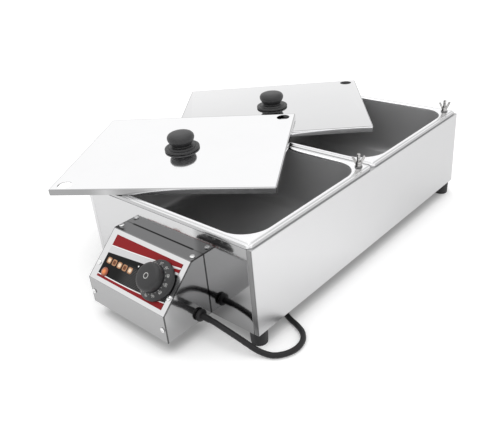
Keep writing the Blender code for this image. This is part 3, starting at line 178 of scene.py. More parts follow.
class Socket:
    """An output of a node, for use in sums."""

    def __init__(self, nodes, socket):
        self.nodes = nodes
        self.socket = socket

    def _sum(self, operation, first, second):
        return self.nodes.node("ShaderNodeMath", {"operation": operation}, {0: first, 1: second})

    def __add__(self, other):
        return self._sum("ADD", self, other)

    def __radd__(self, other):
        return self._sum("ADD", other, self)

    def __sub__(self, other):
        return self._sum("SUBTRACT", self, other)

    def __rsub__(self, other):
        return self._sum("SUBTRACT", other, self)

    def __mul__(self, other):
        return self._sum("MULTIPLY", self, other)

    def __rmul__(self, other):
        return self._sum("MULTIPLY", other, self)

    def __truediv__(self, other):
        return self._sum("DIVIDE", self, other)

    def __pow__(self, other):
        return self._sum("POWER", self, other)

    def abs(self):
        return self._sum("ABSOLUTE", self, 0.0)

    def floor(self):
        return self._sum("FLOOR", self, 0.0)

    def least(self, other):
        return self._sum("MINIMUM", self, other)

    def most(self, other):
        return self._sum("MAXIMUM", self, other)

    def above(self, edge, soft):
        """0 below the edge and 1 above it, with a soft step between."""
        return self.nodes.node(
            "ShaderNodeMapRange",
            {"interpolation_type": "SMOOTHSTEP"},
            {"Value": self - edge, "From Min": -soft, "From Max": soft},
        )

    def below(self, edge, soft):
        return 1 - self.above(edge, soft)

    def near(self, place, half, soft):
        """1 within half of a place, fading out over soft."""
        return (self - place).abs().below(half, soft)


class Nodes:
    """A node tree that is written from top to bottom."""

    def __init__(self, tree):
        self.tree = tree

    def node(self, kind, settings=None, values=None, output=0):
        """One node: its settings, then the values or links of its sockets."""
        made = self.tree.nodes.new(kind)
        for name, value in (settings or {}).items():
            setattr(made, name, value)
        for name, value in (values or {}).items():
            if isinstance(value, Socket):
                self.tree.links.new(value.socket, made.inputs[name])
            else:
                made.inputs[name].default_value = value
        return Socket(self, made.outputs[output])

    def place(self):
        """The point's place in its object's own frame, as three sockets."""
        point = self.node("ShaderNodeTexCoord", output="Object")
        split = self.node("ShaderNodeSeparateXYZ", {}, {0: point})
        outputs = split.socket.node.outputs
        return point, Socket(self, outputs[0]), Socket(self, outputs[1]), Socket(self, outputs[2])

    def stretched(self, point, scale):
        return self.node(
            "ShaderNodeVectorMath", {"operation": "MULTIPLY"}, {0: point, 1: scale}
        )

    def noise(self, point, scale, detail=2.0, rough=0.5):
        values = {"Vector": point, "Scale": scale, "Detail": detail, "Roughness": rough}
        return self.node("ShaderNodeTexNoise", {}, values)

    def mix(self, factor, first, second):
        """The first colour where the factor is 0, and the second where it is 1."""
        values = {0: factor, 6: colour_of(first), 7: colour_of(second)}
        return self.node("ShaderNodeMix", {"data_type": "RGBA"}, values, output=2)

    def grey(self, tone, blue=1.0):
        """A grey as a colour, with its blue a little stronger or not."""
        return self.node("ShaderNodeCombineColor", {}, {0: tone, 1: tone, 2: tone * blue})

    def bump(self, height, strength, distance):
        values = {"Height": height, "Strength": strength, "Distance": distance}
        return self.node("ShaderNodeBump", {}, values, output="Normal")


def blended(first, second, share):
    """The first value where the share is 0, and the second where it is 1."""
    return first * (1 - share) + second * share


def distance(across, up):
    return (across * across + up * up) ** 0.5


def colour_of(value):
    """A socket as it is, or a grey or a colour with its alpha."""
    if isinstance(value, Socket):
        return value
    if isinstance(value, (int, float)):
        return (value, value, value, 1.0)
    return (*value[:3], 1.0)


class Finish(Nodes):
    """A material with one surface shader."""

    def __init__(self, name):
        self.material = bpy.data.materials.new(name)
        self.material.use_nodes = True
        super().__init__(self.material.node_tree)
        self.shader = self.tree.nodes["Principled BSDF"]

    def surface(self, **values):
        """Set or link the surface shader's sockets, named with underscores."""
        for name, value in values.items():
            socket = self.shader.inputs[name.replace("_", " ")]
            if isinstance(value, Socket):
                self.tree.links.new(value.socket, socket)
            elif socket.type == "RGBA":
                socket.default_value = colour_of(value)
            else:
                socket.default_value = value
        return self.material


# Finishes of the metal


def rolled_steel(name, grey, rough, grain=(1.0, 1.0, 60.0), streak=0.06, smudge=0.05, dent=0.00002):
    """Stainless sheet with faint streaks across the grain and soft smudges.

    The grey is one number, or a function of the place's x, y and z that gives it.
    """
    steel = Finish(name)
    point, x, y, z = steel.place()
    lines = steel.noise(steel.stretched(point, grain), 34.0, 3.0, 0.6)
    cloud = steel.noise(point, 9.0, 2.0, 0.5)
    shade = grey(x, y, z) if callable(grey) else grey
    tone = shade * (1 - smudge / 2 + smudge * cloud + streak * 0.5 * (lines - 0.5))
    return steel.surface(
        Base_Color=steel.grey(tone, 1.008),
        Metallic=1.0,
        Roughness=rough + streak * (lines - 0.5) + smudge * (cloud - 0.5),
        Normal=steel.bump(cloud, 0.25, dent),
    )


def pan_steel(name, half_x, half_y, rim_grey, well_shade_grey):
    """Bright on the rim, with painted shade in its groove and over its outer step, painted shade down in the
    well, and drawing marks.
    """
    lip, groove_place, inner_band, outer_band = 0.0004, 0.0040, 0.0062, 0.0006
    steel = Finish(name)
    point, x, y, z = steel.place()
    depth = z * (-1 / PAN_DEPTH)
    marks = steel.noise(steel.stretched(point, (1.0, 1.0, 12.0)), 26.0, 3.0, 0.6)
    cloud = steel.noise(point, 7.0, 2.0, 0.5)
    from_edge = (half_x - x.abs()).least(half_y - y.abs())
    in_well = depth.above(0.035, 0.022) * from_edge.above(PAN_RIM, lip)
    # Painted shade in the well, lighter further down
    well = well_shade_grey * (0.95 + 0.35 * depth + 0.6 * (cloud - 0.5)) + 0.02 * (marks - 0.5)
    # Painted shade in the groove, at the outer edge and over the outer step
    groove = from_edge.near(groove_place, 0.0008, 0.0006)
    edge = from_edge.below(outer_band, 0.0003)
    outer = from_edge.below(inner_band, 0.0012)
    rim = rim_grey * (1 - 0.20 * groove - 0.30 * edge - 0.17 * outer)
    return steel.surface(
        Base_Color=steel.grey(blended(rim, well, in_well), 1.01),
        Metallic=1 - 0.55 * in_well,
        Roughness=0.20 + 0.20 * in_well + 0.06 * (marks - 0.5),
        Normal=steel.bump(marks, 0.2, 0.00002),
    )


def turned_metal(name, colour, rough, worn=0.86, size=420.0):
    """Small hardware with fine scratches, or with coarse dull patches at a small size, which on the wing
    nuts are set dark as painted shade.
    """
    metal = Finish(name)
    point, x, y, z = metal.place()
    scratch = metal.noise(metal.stretched(point, (1.0, 1.0, 4.0)), size, 3.0, 0.7)
    tone = metal.mix(scratch.above(0.5, 0.25), [c * worn for c in colour], colour)
    return metal.surface(
        Base_Color=tone,
        Metallic=1.0,
        Roughness=rough + 0.16 * (scratch - 0.5),
        Normal=metal.bump(scratch, 0.3, 0.00003),
    )


def moulded(name, colour, rough, grain=900.0, depth=0.00003, shine=0.5):
    """Moulded plastic or rubber with a fine even texture and worn patches."""
    skin = Finish(name)
    point, x, y, z = skin.place()
    fine = skin.noise(point, grain, 2.0, 0.6)
    worn = skin.noise(point, 60.0, 2.0, 0.5)
    pale = [c * 1.35 + 0.004 for c in colour]
    return skin.surface(
        Base_Color=skin.mix(worn, colour, pale),
        Roughness=rough + 0.12 * (worn - 0.5) + 0.05 * (fine - 0.5),
        Specular_IOR_Level=shine,
        Normal=skin.bump(fine, 0.35, depth),
    )


def amber_glass(name):
    """A ribbed amber lens, lighter towards its middle."""
    rib_width, heart_radius = MM / 1.2, 0.0036
    glass = Finish(name)
    point, x, y, z = glass.place()
    from_axis = distance(x, y)
    rings = from_axis / rib_width
    ribs = rings.floor() - rings
    heart = from_axis.below(heart_radius, 0.0028)
    return glass.surface(
        Base_Color=glass.mix(heart, (0.20, 0.030, 0.006), (0.70, 0.20, 0.040)),
        Roughness=0.16 + 0.10 * ribs.abs(),
        Emission_Color=glass.mix(heart, (0.06, 0.006, 0.001), (0.60, 0.16, 0.03)),
        Emission_Strength=0.2,
        Coat_Weight=0.6,
        Normal=glass.bump(ribs, 0.25, 0.0001),
    )


# The printed face, written in millimetres across and down


def printed_face(name, colours):
    """Bands and sweeps in red, light grey and black, with a row of plain tiles."""
    left, width = 13.8, 137.0
    soft = 0.22
    line, low_line, line_grey = 1.1, 1.3, 0.86
    dot_across, dot_down, dot_radius = 80.9, 35.4, 1.15
    print_ = Finish(name)
    point, x, y, z = print_.place()
    across = x / MM
    down = y / -MM
    along = (across - left) / width

    art = print_.mix(dotted_field(across, down), colours.dark, 0.10)
    grey_low = 36.0 - 12.5 * along
    art = print_.mix(down.below(grey_low, soft), art, colours.pale)
    swell = along * (1 - along) * 4.0
    red_low = 24.5 - 11.0 * along + 0.8 * swell
    art = print_.mix(down.below(red_low + line, soft), art, line_grey)
    art = print_.mix(down.below(red_low, soft), art, colours.red)

    streak_middle = 20.6 - 12.0 * (along - 0.8)
    streak_half = 5.06 * (along - 0.55)
    streak = (down - streak_middle).abs().below(streak_half, soft) * along.above(0.60, 0.01)
    art = print_.mix(streak, art, colours.red)

    low_edge = 68.5 - 5.5 * along * along * along
    art = print_.mix(down.above(low_edge - low_line, soft), art, line_grey)
    art = print_.mix(down.above(low_edge, soft), art, colours.red)

    art = tiles(print_, art, across, down)
    from_dot = distance(across - dot_across, down - dot_down)
    art = print_.mix(from_dot.below(dot_radius, soft), art, 0.9)
    sheen = print_.noise(point, 1500.0, 2.0, 0.6)
    return print_.surface(
        Base_Color=art,
        Roughness=0.34 + 0.08 * (sheen - 0.5),
        Specular_IOR_Level=0.12,
        Normal=print_.bump(sheen, 0.10, 0.00001),
    )


def dotted_field(across, down):
    """Small dots in offset rows, fading in towards the dial."""
    step = 2.0
    dot_share = 0.33
    rows = down / step
    row = rows.floor()
    columns = across / step + (row * 0.5 - (row * 0.5).floor())
    u = columns - columns.floor() - 0.5
    v = rows - row - 0.5
    spot = distance(u, v).below(dot_share, 0.08)
    return spot * across.above(62.0, 14.0) * down.above(40.0, 3.0)


def tiles(nodes, art, across, down):
    """A row of plain two-tone tiles with round corners."""
    pitch, first, count, middle = 11.4, 18.0, 5, 45.5
    body_half, heart_half = 4.5, 2.8
    brown, cream, dark = (0.42, 0.22, 0.12), (0.78, 0.62, 0.46), (0.16, 0.06, 0.03)
    index = ((across - first) / pitch).floor().most(0.0).least(count - 1.0)
    u = (across - first - pitch * index - pitch / 2).abs()
    v = (down - middle).abs()
    squareness = u ** 4 + v ** 4
    odd = (index * 0.5 - (index * 0.5).floor()).above(0.25, 0.01)
    art = nodes.mix(squareness.below(body_half ** 4, 90.0), art, brown)
    heart = nodes.mix(odd, cream, dark)
    return nodes.mix(squareness.below(heart_half ** 4, 22.0), art, heart)


# Mesh helpers


def rounded_rectangle(half_x, half_y, radius, height, steps):
    points = []
    for sign_x, sign_y, quarter in ((1, 1, 0), (-1, 1, 1), (-1, -1, 2), (1, -1, 3)):
        for step in range(steps + 1):
            angle = (quarter + step / steps) * math.pi / 2
            x = sign_x * (half_x - radius) + radius * math.cos(angle)
            y = sign_y * (half_y - radius) + radius * math.sin(angle)
            points.append((x, y, height))
    return points


def arc(steps):
    """Angles of a quarter turn."""
    return [math.pi / 2 * i / steps for i in range(steps + 1)]


def circle(segments):
    """Angles of a full turn."""
    return [2 * math.pi * i / segments for i in range(segments)]


def mesh_of(bm, name):
    """The finished mesh of a bmesh, which is freed."""
    mesh = bpy.data.meshes.new(name)
    bm.to_mesh(mesh)
    bm.free()
    return mesh


def stacked(loops, name):
    """A closed mesh from loops of equal length."""
    bm = bmesh.new()
    rings = [[bm.verts.new(point) for point in loop] for loop in loops]
    for lower, upper in zip(rings, rings[1:]):
        for i in range(len(lower)):
            j = (i + 1) % len(lower)
            bm.faces.new((lower[i], lower[j], upper[j], upper[i]))
    bm.faces.new(list(reversed(rings[0])))
    bm.faces.new(rings[-1])
    bmesh.ops.recalc_face_normals(bm, faces=bm.faces[:])
    return mesh_of(bm, name)


def turned(profile, segments, name):
    """A closed turned mesh from radii and heights."""
    ring = circle(segments)
    loops = [[(r * math.cos(a), r * math.sin(a), z) for a in ring] for r, z in profile]
    return stacked(loops, name)


def cleaned(node):
    """The node's form with its points welded and its flat faces whole."""
    bm = bmesh.new()
    bm.from_mesh(frame["nodes"][node].data)
    bmesh.ops.remove_doubles(bm, verts=bm.verts[:], dist=WELD)
    bmesh.ops.dissolve_limit(bm, angle_limit=0.5 * DEGREE, verts=bm.verts[:], edges=bm.edges[:])
    return bm


def linked(name, data, matrix=None):
    piece = bpy.data.objects.new(name, data)
    bpy.context.scene.collection.objects.link(piece)
    if matrix is not None:
        piece.matrix_world = matrix
    return piece


def smooth(mesh, angle=38.0):
    mesh.shade_smooth()
    mesh.set_sharp_from_angle(angle=angle * DEGREE)


def settle(piece, material, node, stands_for=()):
    """Give a new piece its finish, its body and the nodes that it stands for."""
    piece.data.materials.clear()
    piece.data.materials.append(material)
    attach(piece, frame["nodes"][node]["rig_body"])
    if stands_for:
        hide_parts(*stands_for)
    return piece


def refined(node, material, edge=0.0, angle=38.0, segments=2, origin=None):
    """The node's own form with welded, smooth surfaces and rounded edges."""
    mesh = mesh_of(cleaned(node), node + "_form")
    if origin is not None:
        mesh.transform(origin.inverted())
    smooth(mesh, angle)
    piece = linked(node + "_form", mesh, origin)
    if edge:
        bevel = piece.modifiers.new("edge", "BEVEL")
        bevel.width = edge
        bevel.segments = segments
        bevel.limit_method = "ANGLE"
        bevel.angle_limit = angle * DEGREE
        bevel.harden_normals = True
        bevel.use_clamp_overlap = True
    return settle(piece, material, node, (node,))


def keep(node, material):
    """A node that shows as it is, with a better finish."""
    data = frame["nodes"][node].data
    data.materials.clear()
    data.materials.append(material)


def zinc_plate():
    """The finish of studs, screws and shafts, made once."""
    name = "plated_hardware"
    return bpy.data.materials.get(name) or turned_metal(name, (0.72, 0.72, 0.73), 0.26)


# Case


# A line that a shade draws fades over this length.
FINE = 0.0002


def box_reflection_grey(z):
    """The front's painted reflection grey where it faces the box's side."""
    return 0.32 + 0.7 * z


def side_shade(base):
    """A broad painted highlight band that leans back over the side, a little darker towards the back,
    painted shade lines at its top edge and corner, and the front's painted reflection on its front-facing
    strip.
    """
    top_line, fold_width, corner_width = 0.0006, 0.0009, 0.0011

    def shade(x, y, z):
        # Painted highlight: a broad light band leaning back over the side
        band = (y * 0.8 + z * 1.6 + 0.02).near(0.0, 0.07, 0.16)
        # Painted shade in the gap under the rim
        line = z.above(CASE_HIGH.z - top_line, FINE) * 0.25
        # Painted reflection on the front-facing strip, with painted shade at its corner edge
        fold = y.below(CASE_LOW.y + fold_width, 1.5 * FINE) * x.above(0.0, 0.01)
        corner = x.above(CASE_HIGH.x - corner_width, FINE)
        sheet = (base + 0.12 * band - 0.05 * y.above(0.10, 0.20)) * (1 - line)
        return blended(sheet, box_reflection_grey(z) * (0.80 - 0.2 * corner), fold)

    return shade


def front_shade(base):
    """Bright left of the control box, and darker right of it, where the box's side is painted in as a
    reflection.
    """

    def shade(x, y, z):
        return blended(base, box_reflection_grey(z), x.above(0.070, 0.008))

    return shade


class MELTER_OT_case(bpy.types.Operator):
    """Sides, front, back and base of the sheet case"""

    bl_idname = "melter.case"
    bl_label = "Case"

    def execute(self, context):
        steel = context.scene.melter_steel
        shade = side_shade(steel.case_grey)
        side = rolled_steel("side_sheet", shade, 0.30, (1.0, 1.0, 0.06), streak=0.03)
        shade = front_shade(steel.panel_grey)
        polished = rolled_steel("front_sheet", shade, 0.08, (1.0, 1.0, 0.1), 0.02, 0.03)
        dull = rolled_steel("base_sheet", 0.55, 0.38, (1.0, 20.0, 1.0), 0.08, 0.12)
        for node in ("side_panel_left", "side_panel_right", "rear_panel"):
            refined(node, side, edge=steel.edge_radius)
        refined("front_panel", polished, edge=steel.edge_radius)
        for node in ("base_plate", "cross_bar"):
            refined(node, dull, edge=steel.edge_radius)
        return {"FINISHED"}


class MELTER_OT_feet(bpy.types.Operator):
    """Rubber feet with their screws"""

    bl_idname = "melter.feet"
    bl_label = "Feet"

    def execute(self, context):
        rubber = moulded("foot_rubber", (0.012, 0.012, 0.013), 0.55, 700.0, 0.00005)
        zinc = zinc_plate()
        for corner in ("front_left", "front_right", "rear_left", "rear_right"):
            refined("foot_" + corner, rubber, edge=0.0010, segments=3)
            keep("foot_screw_" + corner, zinc)
        return {"FINISHED"}


# Pans


def pan_mesh(name, low, high):
    """A drawn pan: rounded well, rolled lip, stepped rim and turned-down edge."""
    half_x = (high.x - low.x) / 2
    half_y = (high.y - low.y) / 2
    sheet = 0.0012
    rim = high.z
    base = low.z
    corner, outer_corner = 0.040, 0.009
    taper, bend, lip = 0.010, 0.018, 0.0026
    step_in, step_down = 0.0034, 0.0008
    skirt_low = CASE_HIGH.z + GAP
    skirt_inner = 0.9 * sheet
    steps = 12

    def flange(inset, height, radius=outer_corner):
        return rounded_rectangle(half_x - inset, half_y - inset, radius - inset, height, steps)

    def wall(inset, height):
        return flange(PAN_RIM + inset, height, PAN_RIM + corner)

    loops = []
    floor = base + sheet
    for angle in arc(8):
        loops.append(wall(taper + bend * (1 - math.sin(angle)), floor + bend * (1 - math.cos(angle))))
    for share in (0.25, 0.5, 0.75):
        height = floor + bend + (rim - lip - floor - bend) * share
        loops.append(wall(taper * (1 - share), height))
    for angle in arc(6):
        loops.append(wall(-lip * (1 - math.cos(angle)), rim - lip * (1 - math.sin(angle))))
    for inset, share in ((0.0008, 0.0), (0.0004, 0.15), (-0.0002, 0.85), (-0.0006, 1.0)):
        loops.append(flange(step_in + inset, rim - step_down * share))
    for angle in arc(4):
        inset = sheet * (1 - math.sin(angle))
        loops.append(flange(inset, rim - step_down - sheet * (1 - math.cos(angle))))
    loops.append(flange(0, skirt_low))
    loops.append(flange(skirt_inner, skirt_low))
    loops.append(flange(skirt_inner, rim - step_down - sheet))
    loops.append(wall(-sheet, rim - step_down - sheet))
    for angle in reversed(arc(6)):
        inset = taper - sheet + (bend + sheet) * (1 - math.sin(angle))
        loops.append(wall(inset, base + (bend + sheet) * (1 - math.cos(angle))))
    mesh = stacked(loops, name)
    mesh.transform(Matrix.Translation((0, 0, -rim)))
    return mesh


class MELTER_OT_pans(bpy.types.Operator):
    """Two drawn pans with stepped rims"""

    bl_idname = "melter.pans"
    bl_label = "Pans"

    def execute(self, context):
        steel = context.scene.melter_steel
        low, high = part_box("pan_front")
        half = (high - low) / 2
        finish = pan_steel("pan_sheet", half.x, half.y, steel.rim_grey, steel.well_shade_grey)
        for name in ("front", "rear"):
            low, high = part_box("pan_" + name)
            mesh = pan_mesh(f"pan_{name}_shell", low, high)
            smooth(mesh, 34.0)
            middle = Vector(((low.x + high.x) / 2, (low.y + high.y) / 2, high.z))
            piece = linked(f"pan_{name}_shell", mesh, Matrix.Translation(middle))
            settle(piece, finish, "pan_" + name, ("pan_" + name,))
        return {"FINISHED"}


# Studs, washers and wing nuts


def threaded_rod(name, radius, low, high, pitch, segments=16):
    """A rod with a helical thread and a chamfered end."""
    loops = []
    depth = pitch * 0.28
    count = int((high - low) / (pitch / 2)) - 1
    for i in range(count):
        ring = []
        for j, angle in enumerate(circle(segments)):
            phase = (i / 2 + j / segments) % 1.0
            r = radius - depth * abs(phase * 2 - 1)
            ring.append((r * math.cos(angle), r * math.sin(angle), low + i * pitch / 2))
        loops.append(ring)
    for drop_share, radius_share in ((0.45, 1.0), (0.21, 0.8)):
        z = high - pitch * drop_share
        r = (radius - depth) * radius_share
        loops.append([(r * math.cos(a), r * math.sin(a), z) for a in circle(segments)])
    return stacked(loops, name)


class MELTER_OT_clamps(bpy.types.Operator):
    """Threaded studs, washers and wing nuts"""

    bl_idname = "melter.clamps"
    bl_label = "Clamps"

    def execute(self, context):
        radius, pitch, proud, below_rim = 0.00268, 0.0008, 0.0002, 0.004
        # Painted shade: coarse dark patches spread at random over the bright wing nuts
        bright = turned_metal("wing_nut_plate", (0.74, 0.73, 0.72), 0.20, 0.16, 150.0)
        # Painted shade: the plated washers under the wing nuts set dark
        dark = turned_metal("washer_plate", (0.26, 0.26, 0.26), 0.30)
        zinc = zinc_plate()
        for name in ("front", "rear"):
            low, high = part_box("wing_nut_" + name)
            middle = ((low.x + high.x) / 2, (low.y + high.y) / 2, 0)
            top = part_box("pan_stud_" + name)[1].z + proud
            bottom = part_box("pan_" + name)[1].z - below_rim
            keep("pan_stud_" + name, zinc)
            mesh = threaded_rod(f"stud_{name}_thread", radius, bottom, top, pitch)
            smooth(mesh, 60.0)
            rod = linked(f"stud_{name}_thread", mesh, Matrix.Translation(middle))
            settle(rod, bright, "pan_stud_" + name)
            refined("washer_" + name, dark, edge=0.0003)
            refined("wing_nut_" + name, bright, edge=0.0005, angle=35.0, segments=3)
        return {"FINISHED"}


# Lids


def flat_frame(node):
    """A frame on top of the node's flat sheet: Z out of it, X along its longest edge."""
    bm = cleaned(node)
    out = max(bm.faces, key=lambda face: face.calc_area()).normal.copy()
    folds = [e for e in bm.edges if len(e.link_faces) == 2 and e.calc_face_angle() > 1.0]
    fold = max(folds, key=lambda edge: edge.calc_length())
    points = [vertex.co.copy() for vertex in bm.verts]
    along = (fold.verts[1].co - fold.verts[0].co).normalized()
    bm.free()
    if along.x < 0:
        along = -along
    out = out if out.z > 0 else -out
    across = out.cross(along)
    turned_to = Matrix((along, across, out)).transposed()
    local = [turned_to.inverted() @ point for point in points]
    low = [min(point[k] for point in local) for k in range(3)]
    high = [max(point[k] for point in local) for k in range(3)]
    middle = Vector(((low[0] + high[0]) / 2, (low[1] + high[1]) / 2, high[2]))
    size = Vector(high) - Vector(low)
    return Matrix.Translation(turned_to @ middle) @ turned_to.to_4x4(), size


def lid_shade(size, top_grey, edge_reflection_grey, under_shade_grey, lean):
    """Painted reflection greys: near white on top with a lean across it, grey on the turned edges with a
    painted highlight streak, and painted shade on every inner face and along the top's edges.
    """
    skin, top_skin, end_line, side_line = 0.0006, 0.0003, 0.0017, 0.0024
    half_x, half_y = size.x / 2, size.y / 2

    def shade(x, y, z):
        off_x, off_y = x.abs(), y.abs()
        top = z.above(-top_skin, FINE / 2)
        inner = off_x.below(half_x - skin, FINE) * off_y.below(half_y - skin, FINE)
        # Painted highlight: a lighter streak on the turned edges
        band = (x - 0.25 * y).near(-0.045, 0.012, 0.02)
        # Painted reflection: the turned edges, lighter towards the right
        wall = edge_reflection_grey + 0.28 * x.above(-0.01, 0.03) + 0.2 * band
        # Painted shade along the edges of the top
        ends = off_x.above(half_x - end_line, 1.5 * FINE)
        line = ends.most(off_y.above(half_y - side_line, 1.5 * FINE))
        # Painted shade on the inner faces
        sheet = blended(wall, under_shade_grey, inner * (1 - top))
        # Painted reflection: the top's grey leans across it
        return blended(sheet, top_grey + lean * y, top) * (1 - 0.6 * line * top)

    return shade


class MELTER_OT_lids(bpy.types.Operator):
    """Two polished lids with turned-down edges and corner holes"""

    bl_idname = "melter.lids"
    bl_label = "Lids"

    def execute(self, context):
        steel = context.scene.melter_steel
        edge, under = steel.lid_edge_reflection_grey, steel.lid_under_shade_grey
        even = (1.0, 1.0, 1.0)
        # Painted reflection greys of the two lids; the rear one is set darker, with lighter edges and a lean
        greys = {
            "front": (steel.lid_front_reflection_grey, edge, under, 0.0),
            "rear": (steel.lid_rear_reflection_grey, edge + 0.30, under, 0.30),
        }
        for name, values in greys.items():
            matrix, size = flat_frame("lid_" + name)
            shade = lid_shade(size, *values)
            finish = rolled_steel(f"lid_{name}_sheet", shade, 0.08, even, 0.02, 0.04, 0.00001)
            refined("lid_" + name, finish, edge=0.0002, origin=matrix)
        return {"FINISHED"}


def span_in(node, matrix):
    """The node's lowest and highest corners in a frame."""
    into = matrix.inverted()
    points = [into @ vertex.co for vertex in frame["nodes"][node].data.vertices]
    return [Vector([pick(point[k] for point in points) for k in range(3)]) for pick in (min, max)]


KNOB_DISC_SHARES = [
    (0.955, 0.00),
    (0.985, 0.05),
    (1.000, 0.17),
    (1.000, 0.40),
    (0.988, 0.54),
    (0.960, 0.63),
    (0.910, 0.68),
    (0.810, 0.71),
    (0.772, 0.64),
    (0.756, 0.72),
    (0.748, 0.90),
    (0.732, 0.98),
    (0.700, 1.00),
    (0.590, 1.00),
]
KNOB_CAP_SHARES = [
    (0.730, 0.00),
    (0.715, 0.05),
    (0.735, 0.11),
    (0.795, 0.19),
    (0.870, 0.28),
    (0.935, 0.38),
    (0.980, 0.49),
    (1.000, 0.60),
    (0.993, 0.70),
    (0.955, 0.79),
    (0.890, 0.87),
    (0.790, 0.93),
    (0.650, 0.97),
    (0.450, 0.99),
    (0.200, 1.00),
]


class MELTER_OT_knobs(bpy.types.Operator):
    """Mushroom knobs on stepped discs"""

    bl_idname = "melter.knobs"
    bl_label = "Lid knobs"

    def execute(self, context):
        black = moulded("knob_plastic", (0.020, 0.020, 0.021), 0.42, 1100.0)
        zinc = zinc_plate()
        for name in ("front", "rear"):
            matrix = flat_frame("lid_" + name)[0]
            for kind, shares in (("knob_base_", KNOB_DISC_SHARES), ("knob_", KNOB_CAP_SHARES)):
                node = kind + name
                low, high = span_in(node, matrix)
                wide, tall = (high.x - low.x) / 2, high.z - low.z
                mesh = turned([(wide * r, tall * h) for r, h in shares], 64, node + "_form")
                smooth(mesh, 60.0)
                middle = Vector(((low.x + high.x) / 2, (low.y + high.y) / 2, low.z))
                piece = linked(node + "_form", mesh, matrix @ Matrix.Translation(middle))
                settle(piece, black, node, (node,))
            keep("knob_screw_" + name, zinc)
        return {"FINISHED"}


# Control box


def face_matrix():
    """Local X runs right, local -Y down the slope and local Z out of the face."""
    top_depth = 0.021
    front_height = 0.0422
    drop = COVER_HIGH.z - front_height
    run = COVER_HIGH.y - COVER_LOW.y - top_depth
    place = Vector((COVER_LOW.x, COVER_HIGH.y - top_depth, COVER_HIGH.z))
    return Matrix.Translation(place) @ Matrix.Rotation(math.atan2(drop, run), 4, "X")


def body_shade(steel):
    """Sides with painted shade that darkens them towards the ground, and a painted shade line in the seam at
    the back.
    """
    seam_width = 0.0011

    def shade(x, y, z):
        seam = y.above(COVER_HIGH.y - seam_width, 1.5 * FINE)
        # Painted shade: darker near the ground and in the back seam
        return steel.box_side_grey * (1 - 0.3 * z.below(0.035, 0.025)) * (1 - 0.7 * seam)

    return shade


def cover_shade(steel):
    """A painted reflection grey for each of the cover's flats, and painted shade lines at its seam and
    sides.
    """
    top_skin, front_skin, seam_width = 0.0009, 0.0007, 0.0013
    left_end, right_end, left_line, right_line = 0.016, 0.019, 0.0009, 0.0013

    def shade(x, y, z):
        top = z.above(COVER_HIGH.z - top_skin, FINE)
        front = y.below(COVER_LOW.y + front_skin, FINE)
        left = x.above(COVER_LOW.x + left_end, 4 * FINE)
        right = x.below(COVER_HIGH.x - right_end, 4 * FINE)
        # Painted shade in the seam at the back of the top strip
        seam = y.above(COVER_HIGH.y - seam_width, FINE) * top * left * right
        # Painted reflection: each flat of the cover gets its own grey
        sheet = blended(steel.box_slope_reflection_grey, steel.box_top_reflection_grey, top)
        sheet = blended(sheet, steel.box_front_reflection_grey, front)
        # Painted shade along the cover's two side edges
        side = x.above(COVER_HIGH.x - right_line, FINE).most(x.below(COVER_LOW.x + left_line, FINE))
        return sheet * (1 - 0.88 * seam) * (1 - 0.75 * side)

    return shade


class MELTER_OT_control_box(bpy.types.Operator):
    """Body, cover and screws of the control box"""

    bl_idname = "melter.control_box"
    bl_label = "Control box"

    def execute(self, context):
        steel = context.scene.melter_steel
        shade = body_shade(steel)
        polished = rolled_steel("box_side_sheet", shade, 0.09, (1.0, 1.0, 0.1), 0.02, 0.03)
        shade = cover_shade(steel)
        cover = rolled_steel("box_cover_sheet", shade, 0.13, (0.08, 1.0, 1.0), 0.03, 0.03)
        head = turned_metal("screw_heads", (0.93, 0.93, 0.93), 0.22)
        refined("control_body", polished, edge=0.0003)
        refined("control_cover", cover, edge=steel.edge_radius)
        for side in ("left", "right"):
            for row in ("top", "slope", "front"):
                refined(f"cover_screw_{row}_{side}", head, edge=0.0002, angle=40.0)
        return {"FINISHED"}


class MELTER_OT_face(bpy.types.Operator):
    """Printed plate on the sloping face"""

    bl_idname = "melter.face"
    bl_label = "Printed face"

    def execute(self, context):
        finish = printed_face("printed_plate", context.scene.melter_print)
        refined("label_plate", finish, edge=0.0001, origin=face_matrix())
        return {"FINISHED"}


# Dial and lamp


# Radius and height of the skirt's cone, and the height of the grip

CONE_BASE = (0.0272, 0.0066)
CONE_TOP = (0.0196, 0.0121)
GRIP_TOP = 0.0258

# Marks on the cone: how proud they stand, how thick they are, and how far up it they lie

MARK_PROUD = 0.00005
MARK_THICK = 0.00008
NUMBER_UP = 0.0050
TICK_UP = 0.0083
TICK = (0.0007, 0.0013, MARK_THICK)
HALF_TICK = (0.0006, 0.0008, MARK_THICK)


def on_cone(mesh, angle, middle):
    """Lay a flat mark on the dial's shallow cone, with its top towards the grip."""
    slant = math.hypot(CONE_BASE[0] - CONE_TOP[0], CONE_TOP[1] - CONE_BASE[1])
    inward = (CONE_BASE[0] - CONE_TOP[0]) / slant
    upward = (CONE_TOP[1] - CONE_BASE[1]) / slant
    for vertex in mesh.vertices:
        x, y, z = vertex.co
        out = CONE_BASE[0] - inward * (middle + y)
        radius = out + upward * (MARK_PROUD + z)
        height = CONE_BASE[1] + upward * (middle + y) + inward * (MARK_PROUD + z)
        turn = angle + x / out
        vertex.co = (radius * math.cos(turn), radius * math.sin(turn), height)
    return mesh


def number_mesh(text, size):
    curve = bpy.data.curves.new("number", "FONT")
    curve.body = text
    curve.size = size
    curve.align_x = "CENTER"
    curve.align_y = "CENTER"
    curve.extrude = MARK_THICK / 2
    curve.resolution_u = 3
    holder = linked("number", curve)
    bpy.context.view_layer.update()
    graph = bpy.context.evaluated_depsgraph_get()
    mesh = bpy.data.meshes.new_from_object(holder.evaluated_get(graph))
    bpy.data.objects.remove(holder)
    bpy.data.curves.remove(curve)
    return mesh


